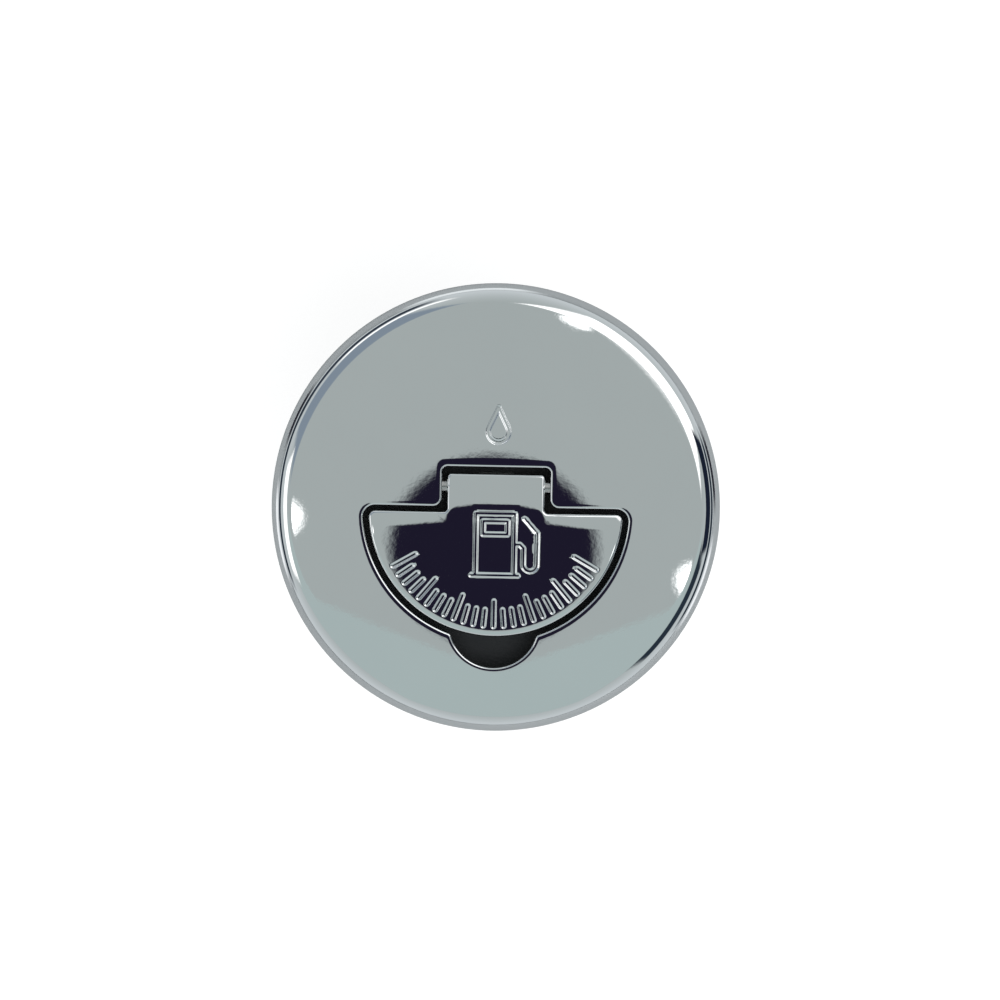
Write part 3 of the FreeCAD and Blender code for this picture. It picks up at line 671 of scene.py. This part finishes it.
@dataclass(frozen=True)
class Cover:
    """The chromed cover: a crown with the handle's opening, a rolled rim and a skirt."""

    crown: Crown
    opening: HalfMoon
    bottom: float
    wall: float = 1.6 * MM
    lip: float = 0.45 * MM
    hem: float = 0.5 * MM
    step: float = 0.5 * MM
    face_rings: int = 22
    rim_rings: int = 20
    back_rings: int = 8
    skirt_rings: int = 4
    corner_rings: int = 4

    def build(self) -> bpy.types.Object:
        """Draw the cover's skin from the opening's wall over the crown, round the skirt and back inside.

        Returns:
            The cover.
        """
        edge = self.opening.points(self.step)
        loft = Loft("chromed_cover", self._draped(edge, self.wall))
        loft.on([Vector((x, y, self.crown.height(x, y) - self.lip)) for x, y in edge])
        for cosine, sine in quarter(self.corner_rings):
            ring = offset(edge, self.lip * (1 - cosine))
            loft.on([Vector((x, y, self.crown.height(x, y) - self.lip * (1 - sine))) for x, y in ring])
        face = offset(edge, self.lip)
        rim = on_circle(face, self.crown.radius * math.cos(self.crown.tangent))
        for i in range(1, self.face_rings + 1):
            loft.on(self._draped(between(face, rim, i / self.face_rings), 0.0))
        for radius, height in self._round_the_skirt():
            loft.on([Vector((x, y, 0)).normalized() * radius + Vector((0, 0, height)) for x, y in rim])
        inner = on_circle(face, (self.crown.radius - self.wall) * math.cos(self.crown.tangent))
        for i in range(self.back_rings):
            loft.on(self._draped(between(inner, edge, i / self.back_rings), self.wall))
        loft.bridge()
        piece = loft.finish()
        Bench.smooth(piece)
        log.info("cover: %d faces", len(piece.data.polygons))
        return piece

    def _draped(self, ring: Sequence[Point], depth: float) -> list[Vector]:
        """A ring laid on the crown, or a depth below it."""
        return [Vector((x, y, self.crown.height(x, y, depth))) for x, y in ring]

    def _round_the_skirt(self) -> Iterable[Point]:
        """Radius and height of each ring from the crown's edge, round the hem and up inside.

        Returns:
            Pairs of a radius and a height.
        """
        crown, inner = self.crown, self.crown.rim_radius - self.wall
        for i in range(1, self.rim_rings + 1):
            angle = crown.tangent * (1 - i / self.rim_rings)
            yield (crown.rim_place + crown.rim_radius * math.cos(angle),
                   crown.rim_height + crown.rim_radius * math.sin(angle))
        drop = self.bottom + self.hem - crown.rim_height
        for i in range(1, self.skirt_rings + 1):
            yield crown.cap_radius, crown.rim_height + drop * i / self.skirt_rings
        for cosine, sine in quarter(self.corner_rings):
            yield crown.cap_radius - self.hem * (1 - cosine), self.bottom + self.hem * (1 - sine)
        yield crown.cap_radius - self.wall + self.hem, self.bottom
        for cosine, sine in quarter(self.corner_rings):
            yield crown.cap_radius - self.wall + self.hem * (1 - sine), self.bottom + self.hem * (1 - cosine)
        yield crown.cap_radius - self.wall, crown.rim_height
        for i in range(1, self.back_rings):
            angle = crown.tangent * i / self.back_rings
            yield crown.rim_place + inner * math.cos(angle), crown.rim_height + inner * math.sin(angle)


# ---------------------------------------------------------------------------------------------
# The folding handle
# ---------------------------------------------------------------------------------------------


@dataclass(frozen=True)
class Handle:
    """The folding handle: a half-moon plate with a shallow border, a knuckle and engraved marks."""

    crown: Crown
    outline: HalfMoon
    pan: HalfMoon
    bottom: float
    hinge: tuple[float, float]
    knuckle: float = 2.75 * MM
    bush: float = 2.17 * MM
    bush_length: float = 4.0 * MM
    pin: float = 1.7 * MM
    sink: float = 0.15 * MM
    border_slope: float = math.tan(math.radians(3.4))
    border_blend: float = 0.5 * MM
    edge: float = 0.6 * MM
    under_edge: float = 0.3 * MM
    middle: float = 7.5 * MM
    under_rings: int = 10
    edge_rings: int = 5
    border_rings: int = 5
    pan_rings: int = 30
    step: float = 0.56 * MM

    def build(self) -> bpy.types.Object:
        """Draw the plate, then join its knuckle and bore it.

        Returns:
            The handle.
        """
        rim = self.outline.points(self.step)
        pan = on_outline(rim, self.pan.points(self.step))
        top = self._surface(pan)
        under = offset(rim, -self.under_edge)
        middle = self._middle_ring(under)
        loft = Loft("chromed_handle", self._flat(middle))
        for i in range(1, self.under_rings + 1):
            loft.on(self._flat(between(middle, under, i / self.under_rings)))
        loft.on([Vector((x, y, self.bottom + self.under_edge)) for x, y in rim])
        for cosine, sine in ((1.0, 0.0), *quarter(self.edge_rings)):
            ring = offset(rim, -self.edge * (1 - cosine))
            loft.on([Vector((x, y, top(i, x, y) - self.edge * (1 - sine))) for i, (x, y) in enumerate(ring)])
        face = offset(rim, -self.edge)
        middle = self._middle_ring(face)
        for near, far, count in ((face, pan, self.border_rings), (pan, middle, self.pan_rings)):
            for step in range(1, count + 1):
                ring = between(near, far, step / count)
                loft.on([Vector((x, y, top(i, x, y))) for i, (x, y) in enumerate(ring)])
        loft.fill(loft.rings)
        loft.fill(0)
        piece = loft.finish()
        self._settle_middle(piece)
        self._join_knuckle(piece)
        log.info("handle: %d faces", len(piece.data.polygons))
        return piece

    def _middle_ring(self, face: Sequence[Point]) -> list[Point]:
        """As many points as the face has, evenly round the middle, the first towards the face's first.

        Args:
            face: the ring to match, point by point.

        Returns:
            The middle's ring.
        """
        first = math.atan2(face[0][1] - HUB[1], face[0][0] - HUB[0])
        angles = (first + math.tau * i / len(face) for i in range(len(face)))
        return [(HUB[0] + self.middle * math.cos(a), HUB[1] + self.middle * math.sin(a)) for a in angles]

    def _flat(self, ring: Sequence[Point]) -> list[Vector]:
        """A ring laid on the plate's underside."""
        return [Vector((x, y, self.bottom)) for x, y in ring]

    def _surface(self, pan: Sequence[Point]) -> Callable[[int, float, float], float]:
        """The top's height by ray: the crown inside the pan, and a shallow slope outside it.

        Args:
            pan: the pan's outline, with one point on each ray.

        Returns:
            A function of ray, x and y.
        """
        starts = np.array(pan)
        runs = np.roll(starts, -1, axis=0) - starts
        squares = np.maximum((runs**2).sum(axis=1), 1e-18)

        def top(index: int, x: float, y: float) -> float:
            """Height at a point, by its distance square to the pan's outline.

            Args:
                index: the ray that the point lies on.
                x: the point's place across.
                y: the point's place along.

            Returns:
                The height.
            """
            out = 0.0
            if math.dist((x, y), HUB) > math.dist(pan[index], HUB):
                away = np.array((x, y)) - starts
                share = np.clip((away * runs).sum(axis=1) / squares, 0, 1)
                out = float(np.linalg.norm(away - share[:, None] * runs, axis=1).min())
            fall = math.hypot(out, self.border_blend) - self.border_blend
            return self.crown.height(x, y) - self.sink - self.border_slope * fall
        return top

    def _settle_middle(self, piece: bpy.types.Object) -> None:
        """Lay the filled middle of the top on the crown.

        Args:
            piece: the handle.
        """
        for vert in piece.data.vertices:
            if vert.co.z > self.hinge[1] + self.knuckle / 2 and math.dist(vert.co.xy, HUB) < self.middle:
                vert.co.z = self.crown.height(vert.co.x, vert.co.y) - self.sink

    def _join_knuckle(self, piece: bpy.types.Object) -> None:
        """Join the knuckle under the tab and bore it for the pin and its two bushes.

        Args:
            piece: the handle.
        """
        half = self.outline.tab_half
        Bench.cut(piece, self._rod(self.knuckle, 2 * half), "UNION")
        Bench.cut(piece, self._rod(self.pin, 2 * half + 2 * MM))
        for side in (-1, 1):
            Bench.cut(piece, self._rod(self.bush, 2 * self.bush_length, side * half))

    def _rod(self, radius: float, length: float, x: float = 0.0) -> bpy.types.Object:
        """A rod along the hinge.

        Args:
            radius: the rod's radius.
            length: the rod's length.
            x: the rod's middle.

        Returns:
            The rod.
        """
        Bench.clear()
        bpy.ops.mesh.primitive_cylinder_add(
            vertices=72, radius=radius, depth=length, location=(x, *self.hinge), rotation=(0, math.pi / 2, 0))
        return Bench.added("rod")


@dataclass(frozen=True)
class Engraving:
    """Grooves cut with a round tool: a scale of plain strokes, a pump symbol and a drop."""

    half_width: float = 0.62 * MM
    floor: float = 0.26 * MM
    depth: float = 0.24 * MM
    margin: float = 0.25 * MM
    cell: float = 0.18 * MM
    cuts: int = 2
    scale_inner: float = 20.4 * MM
    scale_outer: float = 26.0 * MM
    scale_short: float = 22.4 * MM
    scale_start: float = 210.0
    scale_end: float = 330.0
    scale_strokes: int = 25
    pump_top: float = -0.9 * MM
    pump_bottom: float = -14.6 * MM
    pump_half: float = 4.3 * MM
    drop_start: float = 150.0
    drop_end: float = 390.0
    drop_steps: int = 16
    drop_point: float = 2.3

    def strokes(self) -> list[tuple[Point, Point]]:
        """Every straight stroke on the handle, as its two ends."""
        return [*self._scale(), *self._pump()]

    def _scale(self) -> Iterable[tuple[Point, Point]]:
        """A scale of long and short radial strokes along the handle's round edge.

        Returns:
            The two ends of each stroke.
        """
        for index in range(self.scale_strokes):
            share = index / (self.scale_strokes - 1)
            angle = math.radians(self.scale_start + (self.scale_end - self.scale_start) * share)
            inner = self.scale_inner if index % 4 == 0 else self.scale_short
            ray = (math.cos(angle), math.sin(angle))
            yield ((ray[0] * inner, ray[1] * inner), (ray[0] * self.scale_outer, ray[1] * self.scale_outer))

    def _pump(self) -> Iterable[tuple[Point, Point]]:
        """A plain fuel pump: body, base, window and hose.

        Returns:
            The two ends of each stroke.
        """
        half, top, bottom = self.pump_half, self.pump_top, self.pump_bottom
        yield from self._box(-half, top, half, bottom)
        yield from self._run([(-half - 0.9 * MM, bottom), (half + 0.9 * MM, bottom)])
        yield from self._box(-half + 1.6 * MM, top - 1.7 * MM, half - 1.6 * MM, top - 4.6 * MM)
        reach = half + 4.9 * MM
        bend = 1.5 * MM
        hose = [(half, top - 6.8 * MM), (half + 1.2 * MM, top - 6.8 * MM), (half + 2.0 * MM, top - 7.6 * MM)]
        low = bottom + 1.0 * MM + bend
        for step in range(9):
            angle = math.pi + math.pi * step / 8
            hose.append((half + 2.0 * MM + bend + bend * math.cos(angle), low + bend * math.sin(angle)))
        hose += [(reach + 0.1 * MM, top - 4.2 * MM), (half + 2.2 * MM, top - 1.0 * MM)]
        yield from self._run(hose)

    def _box(self, left: float, top: float, right: float, bottom: float) -> Iterable[tuple[Point, Point]]:
        """The four sides of a rectangle."""
        yield from self._run([(left, top), (right, top), (right, bottom), (left, bottom), (left, top)])

    @staticmethod
    def _run(points: Sequence[Point]) -> Iterable[tuple[Point, Point]]:
        """The strokes that join a row of points."""
        yield from zip(points, points[1:])

    def drop(self, centre: Point, size: float) -> list[tuple[Point, Point]]:
        """The outline of a plain drop, as strokes.

        Args:
            centre: the middle of the drop's round end.
            size: the round end's radius.

        Returns:
            The two ends of each stroke.
        """
        start, end = math.radians(self.drop_start), math.radians(self.drop_end)
        points = [(centre[0], centre[1] + self.drop_point * size)]
        for step in range(self.drop_steps + 1):
            angle = start + (end - start) * step / self.drop_steps
            points.append((centre[0] + size * math.cos(angle), centre[1] + size * math.sin(angle)))
        return list(self._run([*points, points[0]]))

    def cut(self, piece: bpy.types.Object, strokes: Sequence[tuple[Point, Point]],
            height: Callable[[float, float], float]) -> None:
        """Cut strokes into a surface: divide its faces near them, then sink the points.

        Args:
            piece: the piece to cut.
            strokes: the two ends of each stroke, in plan.
            height: the surface's height at a place.
        """
        Bench.take(piece)
        bpy.ops.object.mode_set(mode="EDIT")
        bpy.ops.mesh.select_mode(type="FACE")
        bpy.ops.mesh.select_all(action="DESELECT")
        bpy.ops.object.mode_set(mode="OBJECT")
        near = self._near([face.center for face in piece.data.polygons], strokes, height, self.margin)
        faces = [ok and face.area > self.cell**2 for ok, face in zip(near, piece.data.polygons)]
        piece.data.polygons.foreach_set("select", faces)
        bpy.ops.object.mode_set(mode="EDIT")
        bpy.ops.mesh.subdivide(number_cuts=self.cuts, quadcorner="INNERVERT")
        bpy.ops.object.mode_set(mode="OBJECT")
        places = [vert.co for vert in piece.data.vertices]
        for vert, distance in zip(piece.data.vertices, self._distances(places, strokes)):
            surface = height(vert.co.x, vert.co.y)
            if distance < self.half_width and abs(vert.co.z - surface) < self.depth:
                rise = max(distance - self.floor, 0.0) / (self.half_width - self.floor)
                sink = 0.5 + 0.5 * math.cos(math.pi * rise)
                vert.co.z = surface - self.depth * sink

    def _near(self, places: Sequence[Vector], strokes: Sequence[tuple[Point, Point]],
              height: Callable[[float, float], float], margin: float) -> list[bool]:
        """Which places lie on the surface and near a stroke.

        Args:
            places: the places to test.
            strokes: the two ends of each stroke.
            height: the surface's height at a place.
            margin: how far past a groove's edge still counts.

        Returns:
            One answer for each place.
        """
        reach = self.half_width + margin
        return [bool(distance < reach and abs(place.z - height(place.x, place.y)) < self.depth)
                for place, distance in zip(places, self._distances(places, strokes))]

    @staticmethod
    def _distances(places: Sequence[Vector], strokes: Sequence[tuple[Point, Point]]) -> np.ndarray:
        """Distance in plan from each place to the nearest stroke.

        Args:
            places: the places to measure from.
            strokes: the two ends of each stroke.

        Returns:
            One distance for each place.
        """
        spots = np.array([place[:2] for place in places])
        best = np.full(len(spots), np.inf)
        for start, end in strokes:
            run = np.subtract(end, start)
            away = spots - start
            share = np.clip(away @ run / (run @ run), 0, 1)
            best = np.minimum(best, np.linalg.norm(away - share[:, None] * run, axis=1))
        return best


# ---------------------------------------------------------------------------------------------
# Pieces kept from the frame
# ---------------------------------------------------------------------------------------------


class Fittings:
    """The pieces whose shape the frame already gives, which only need their finish."""

    def dress(self, materials: dict[str, bpy.types.Material]) -> None:
        """Give every kept node the material of its slot.

        Args:
            materials: the materials by slot name.
        """
        for name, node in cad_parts.items():
            slot = self._slot_of(node)
            material = materials[slot]
            for place in node.material_slots:
                place.material = material
            log.info("%s: %s", name, slot)

    @staticmethod
    def _slot_of(node: bpy.types.Object) -> str:
        """The record's slot that a node's first material stands for.

        Args:
            node: a node of the frame.

        Returns:
            The slot's name.
        """
        name = node.material_slots[0].material.name
        return name.split(".")[0]


# ---------------------------------------------------------------------------------------------
# Studio
# ---------------------------------------------------------------------------------------------


@dataclass(frozen=True)
class Card:
    """A flat card that shows only in reflections and lights nothing.

    The card faces the cap from a distance; its place is given by how far its direction leans
    from straight up, and by the side that it leans to.
    """

    name: str
    lean: float
    side: float
    wide: float
    high: float
    colour: tuple[float, float, float]
    strength: float
    soft: float = 0.12
    distance: float = 0.7
    disc: bool = False

    def build(self) -> None:
        """Hang the card and give it a soft-edged glow."""
        lean, side = math.radians(self.lean), math.radians(self.side)
        away = Vector((math.sin(lean) * math.cos(side), math.sin(lean) * math.sin(side), math.cos(lean)))
        Bench.clear()
        bpy.ops.mesh.primitive_grid_add(x_subdivisions=4, y_subdivisions=4, size=1)
        card = bpy.context.object
        card.name = self.name
        card.scale = (self.wide, self.high, 1)
        card.rotation_mode = "QUATERNION"
        card.rotation_quaternion = away.to_track_quat("Z", "Y")
        card.location = away * self.distance
        card.visible_camera = False
        card.visible_shadow = False
        card.visible_diffuse = False
        card.data.materials.append(self._glow())

    def _glow(self) -> bpy.types.Material:
        """A glow that fades out to nothing at the card's edges.

        Returns:
            The glow.
        """
        material = bpy.data.materials.new(self.name)
        material.use_nodes = True
        nodes, links = material.node_tree.nodes, material.node_tree.links
        nodes.clear()
        place = nodes.new("ShaderNodeTexCoord")
        split = nodes.new("ShaderNodeSeparateXYZ")
        links.new(place.outputs["Object"], split.inputs["Vector"])
        span = nodes.new("ShaderNodeVectorMath")
        span.operation = "LENGTH"
        links.new(place.outputs["Object"], span.inputs[0])
        fade = None
        for reach in [span.outputs["Value"]] if self.disc else [split.outputs["X"], split.outputs["Y"]]:
            size = nodes.new("ShaderNodeMath")
            size.operation = "ABSOLUTE"
            links.new(reach, size.inputs[0])
            edge = nodes.new("ShaderNodeMapRange")
            edge.interpolation_type = "SMOOTHSTEP"
            edge.inputs["From Min"].default_value = 0.5
            edge.inputs["From Max"].default_value = 0.5 - self.soft
            links.new(size.outputs[0], edge.inputs["Value"])
            if fade is None:
                fade = edge.outputs["Result"]
            else:
                both = nodes.new("ShaderNodeMath")
                both.operation = "MULTIPLY"
                links.new(fade, both.inputs[0])
                links.new(edge.outputs["Result"], both.inputs[1])
                fade = both.outputs[0]
        glow = nodes.new("ShaderNodeEmission")
        glow.inputs["Color"].default_value = (*self.colour, 1)
        glow.inputs["Strength"].default_value = self.strength
        clear = nodes.new("ShaderNodeBsdfTransparent")
        mix = nodes.new("ShaderNodeMixShader")
        links.new(fade, mix.inputs["Fac"])
        links.new(clear.outputs[0], mix.inputs[1])
        links.new(glow.outputs[0], mix.inputs[2])
        links.new(mix.outputs[0], nodes.new("ShaderNodeOutputMaterial").inputs["Surface"])
        return material


@dataclass(frozen=True)
class Studio:
    """The pale floor, the soft light and the cards that the chrome reflects."""

    floor_height: float
    floor_size: float = 12.0
    floor_mirrored: tuple[float, float, float] = (0.36, 0.37, 0.38)
    floor_paper: float = 0.22
    floor_lift: float = 0.88
    light_place: tuple[float, float, float] = (0.5, -0.6, 1.6)
    light_turn: tuple[float, float, float] = (0.35, 0.3, 0.0)
    light_size: float = 1.6
    light_energy: float = 26.0
    zenith: tuple[float, float, float] = (0.385, 0.425, 0.425)
    horizon: tuple[float, float, float] = (0.56, 0.60, 0.62)
    cards: tuple[Card, ...] = (
        Card("dark_card", 7.4, 268, 0.292, 0.268, (0.012, 0.010, 0.024), 1.0, soft=0.08, disc=True),
        Card("lower_left_card", 31, 250, 1.0, 0.34, (0.40, 0.475, 0.475), 1.0, soft=0.03, distance=0.75),
        Card("lower_right_card", 31, 290, 1.0, 0.34, (0.40, 0.475, 0.475), 1.0, soft=0.03, distance=0.76),
        Card("corner_softbox", 41, 42, 0.55, 0.56, (1, 1, 1), 1.5, soft=0.10),
        Card("left_haze", 44, 140, 0.60, 0.50, (0.22, 0.27, 0.33), 1.0, soft=0.12),
        Card("side_softbox", 52, 187, 0.34, 0.22, (1, 1, 1), 1.3, soft=0.12, distance=0.65),
        Card("right_shade", 60, 2, 0.34, 0.26, (0.01, 0.015, 0.03), 1.0, soft=0.10, distance=0.6),
        Card("right_low_shade", 52, 328, 0.34, 0.26, (0.02, 0.03, 0.045), 1.0, soft=0.15, distance=0.6),
        Card("back_shade", 78, 135, 0.70, 0.16, (0.03, 0.04, 0.06), 1.0, soft=0.20, distance=0.6),
        Card("left_low_shade", 80, 178, 0.62, 0.12, (0.02, 0.03, 0.045), 1.0, soft=0.15, distance=0.55),
        Card("right_line_shade", 80, 352, 0.62, 0.12, (0.02, 0.03, 0.045), 1.0, soft=0.15, distance=0.55),
        Card("back_streak", 66, 122, 0.42, 0.08, (1, 1, 1), 1.2, soft=0.20, distance=0.58),
        Card("left_rim_glow", 96, 190, 0.17, 0.10, (0.95, 0.97, 1.0), 1.0, soft=0.30, distance=0.30),
        Card("left_rim_shade", 96, 158, 0.12, 0.10, (0.02, 0.02, 0.03), 1.0, soft=0.30, distance=0.31),
        Card("right_rim_glow", 96, 338, 0.16, 0.10, (0.95, 0.97, 1.0), 1.0, soft=0.30, distance=0.30),
        Card("right_rim_shade", 96, 9, 0.15, 0.10, (0.02, 0.02, 0.03), 1.0, soft=0.30, distance=0.31),
        Card("back_rim_glow", 96, 98, 0.26, 0.10, (0.80, 0.84, 0.86), 1.0, soft=0.30, distance=0.30),
        Card("back_lamp", 20.6, 65, 0.052, 0.052, (1, 1, 1), 3.0, soft=0.45, distance=0.6, disc=True),
        Card("left_lamp", 23.0, 191, 0.052, 0.052, (1, 1, 1), 3.0, soft=0.45, distance=0.6, disc=True),
        Card("right_lamp", 23.6, 334, 0.052, 0.052, (1, 1, 1), 3.0, soft=0.45, distance=0.6, disc=True),
    )

    def build(self) -> None:
        """Lay the floor, hang the cards and set the sky."""
        self._floor()
        for card in self.cards:
            card.build()
        self._sky()
        self._lights()

    def _floor(self) -> None:
        """A wide pale floor under the part."""
        Bench.clear()
        bpy.ops.mesh.primitive_plane_add(size=self.floor_size, location=(0, 0, self.floor_height))
        floor = Bench.added("floor")
        floor.data.materials.append(self._pale())

    def _pale(self) -> bpy.types.Material:
        """Pale paper to look at, and a dimmer grey in the chrome.

        Returns:
            The floor's material.
        """
        bench = NodeBench("floor")
        bench.shader.inputs["Base Color"].default_value = (*self.floor_mirrored, 1)
        bench.shader.inputs["Roughness"].default_value = 0.8
        paper = bench.add("ShaderNodeBsdfDiffuse", Color=(*[self.floor_paper] * 3, 1))
        glow = bench.add("ShaderNodeEmission", Color=(1, 1, 1, 1), Strength=self.floor_lift)
        both = bench.add("ShaderNodeAddShader")
        seen = bench.add("ShaderNodeLightPath")
        choice = bench.add("ShaderNodeMixShader")
        bench.link(paper.outputs[0], both.inputs[0])
        bench.link(glow.outputs[0], both.inputs[1])
        bench.link(seen.outputs["Is Camera Ray"], choice.inputs["Fac"])
        bench.link(bench.shader.outputs[0], choice.inputs[1])
        bench.link(both.outputs[0], choice.inputs[2])
        bench.link(choice.outputs[0], bench.tree.nodes["Material Output"].inputs["Surface"])
        return bench.material

    def _sky(self) -> None:
        """A sky that is grey overhead and pale at the horizon."""
        world = bpy.data.worlds.new("sky")
        bpy.context.scene.world = world
        world.use_nodes = True
        nodes, links = world.node_tree.nodes, world.node_tree.links
        place = nodes.new("ShaderNodeTexCoord")
        split = nodes.new("ShaderNodeSeparateXYZ")
        ramp = nodes.new("ShaderNodeValToRGB")
        links.new(place.outputs["Generated"], split.inputs["Vector"])
        links.new(split.outputs["Z"], ramp.inputs["Fac"])
        ramp.color_ramp.elements[0].color = (*self.horizon, 1)
        ramp.color_ramp.elements[0].position = 0.15
        ramp.color_ramp.elements[1].color = (*self.zenith, 1)
        ramp.color_ramp.elements[1].position = 0.9
        links.new(ramp.outputs["Color"], nodes["Background"].inputs["Color"])
        nodes["Background"].inputs["Strength"].default_value = 1.0

    def _lights(self) -> None:
        """One large soft light from above, seen in no reflection."""
        Bench.clear()
        bpy.ops.object.light_add(type="AREA", location=self.light_place, rotation=self.light_turn)
        light = bpy.context.object
        light.data.size = self.light_size
        light.data.energy = self.light_energy
        light.visible_glossy = False


@dataclass(frozen=True)
class Camera:
    """A long lens that looks down on the cap, a little tilted and rolled."""

    target: Vector
    distance: float = 0.9
    lens: float = 145.2
    tilt: float = 3.0
    roll: float = 1.1

    def build(self) -> None:
        """Place the camera over the cap."""
        Bench.clear()
        bpy.ops.object.camera_add()
        camera = bpy.context.object
        camera.data.lens = self.lens
        camera.data.clip_end = 20
        tilt = math.radians(self.tilt)
        back = Vector((0, math.sin(tilt), math.cos(tilt)))
        camera.location = self.target + back * self.distance
        turn = Matrix.Rotation(-tilt, 4, "X") @ Matrix.Rotation(math.radians(self.roll), 4, "Z")
        camera.rotation_euler = turn.to_euler()
        bpy.context.scene.camera = camera
        bpy.context.scene.view_settings.view_transform = "Standard"


# ---------------------------------------------------------------------------------------------
# The whole cap
# ---------------------------------------------------------------------------------------------


@dataclass
class DeckFillCap:
    """The deck fill cap, piece by piece, sized from the frame."""

    sink: float = 0.15 * MM
    materials: dict[str, bpy.types.Material] = field(default_factory=dict)

    def build(self) -> None:
        """Build and dress every piece."""
        self.materials = Finishes().made()
        Fittings().dress(self.materials)
        crown = self._crown()
        self._cover(crown)
        self._handle(crown)

    def _crown(self) -> Crown:
        """The crown that the cover and the handle share."""
        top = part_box("fold_handle")[1].z + self.sink
        return Crown(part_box("cap_cover")[1].x, top)

    def _cover(self, crown: Crown) -> None:
        """The cover, with a plain drop engraved above the handle's tab.

        Args:
            crown: the shared crown.
        """
        cover = Cover(crown, HalfMoon(notch_radius=9.8 * MM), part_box("cap_cover")[0].z)
        piece = cover.build()
        marks = Engraving(cuts=9, margin=1.0 * MM)
        marks.cut(piece, marks.drop((0.3 * MM, 17.2 * MM), 2.3 * MM), crown.height)
        Bench.smooth(piece)
        self._hand_over(piece, Body.CAP, "cap_cover", "bright_chrome")

    def _handle(self, crown: Crown) -> None:
        """The handle, with its engraved scale and pump.

        Args:
            crown: the shared crown.
        """
        outline = HalfMoon(28.3 * MM, -0.7 * MM, 10.8 * MM, 7.8 * MM, 1.5 * MM, 0.8 * MM, 0.8 * MM)
        pan = HalfMoon(26.8 * MM, -4.0 * MM, 10.2 * MM, -0.3 * MM, 2.5 * MM, 1.2 * MM, 1.2 * MM)
        pin = (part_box("hinge_pin")[0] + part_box("hinge_pin")[1]) / 2
        handle = Handle(crown, outline, pan, 15.45 * MM, (pin.y, pin.z))
        piece = handle.build()
        marks = Engraving()
        marks.cut(piece, marks.strokes(), lambda x, y: crown.height(x, y) - self.sink)
        Bench.smooth(piece)
        self._hand_over(piece, Body.HANDLE, "fold_handle", "bright_chrome")

    def _hand_over(self, piece: bpy.types.Object, body: Body, node: str, slot: str) -> None:
        """Give a piece its finish and its body, and hide the node that it stands for.

        Args:
            piece: the finished piece.
            body: the body that it rides on.
            node: the node that it stands for.
            slot: its finish's slot.
        """
        piece.data.materials.clear()
        piece.data.materials.append(self.materials[slot])
        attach(piece, body.value)
        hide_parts(node)
        log.info("%s stands for %s: %d faces", piece.name, node, len(piece.data.polygons))


def main() -> None:
    """Build the cap, then the studio around it."""
    logging.basicConfig(level=logging.INFO, format="%(name)s: %(message)s")
    DeckFillCap().build()
    Studio(floor_height=CAD_BOX[0].z - 0.2 * MM).build()
    Camera(Vector((0.9 * MM, 1.7 * MM, 10 * MM))).build()


if __name__ == "__main__":
    main()
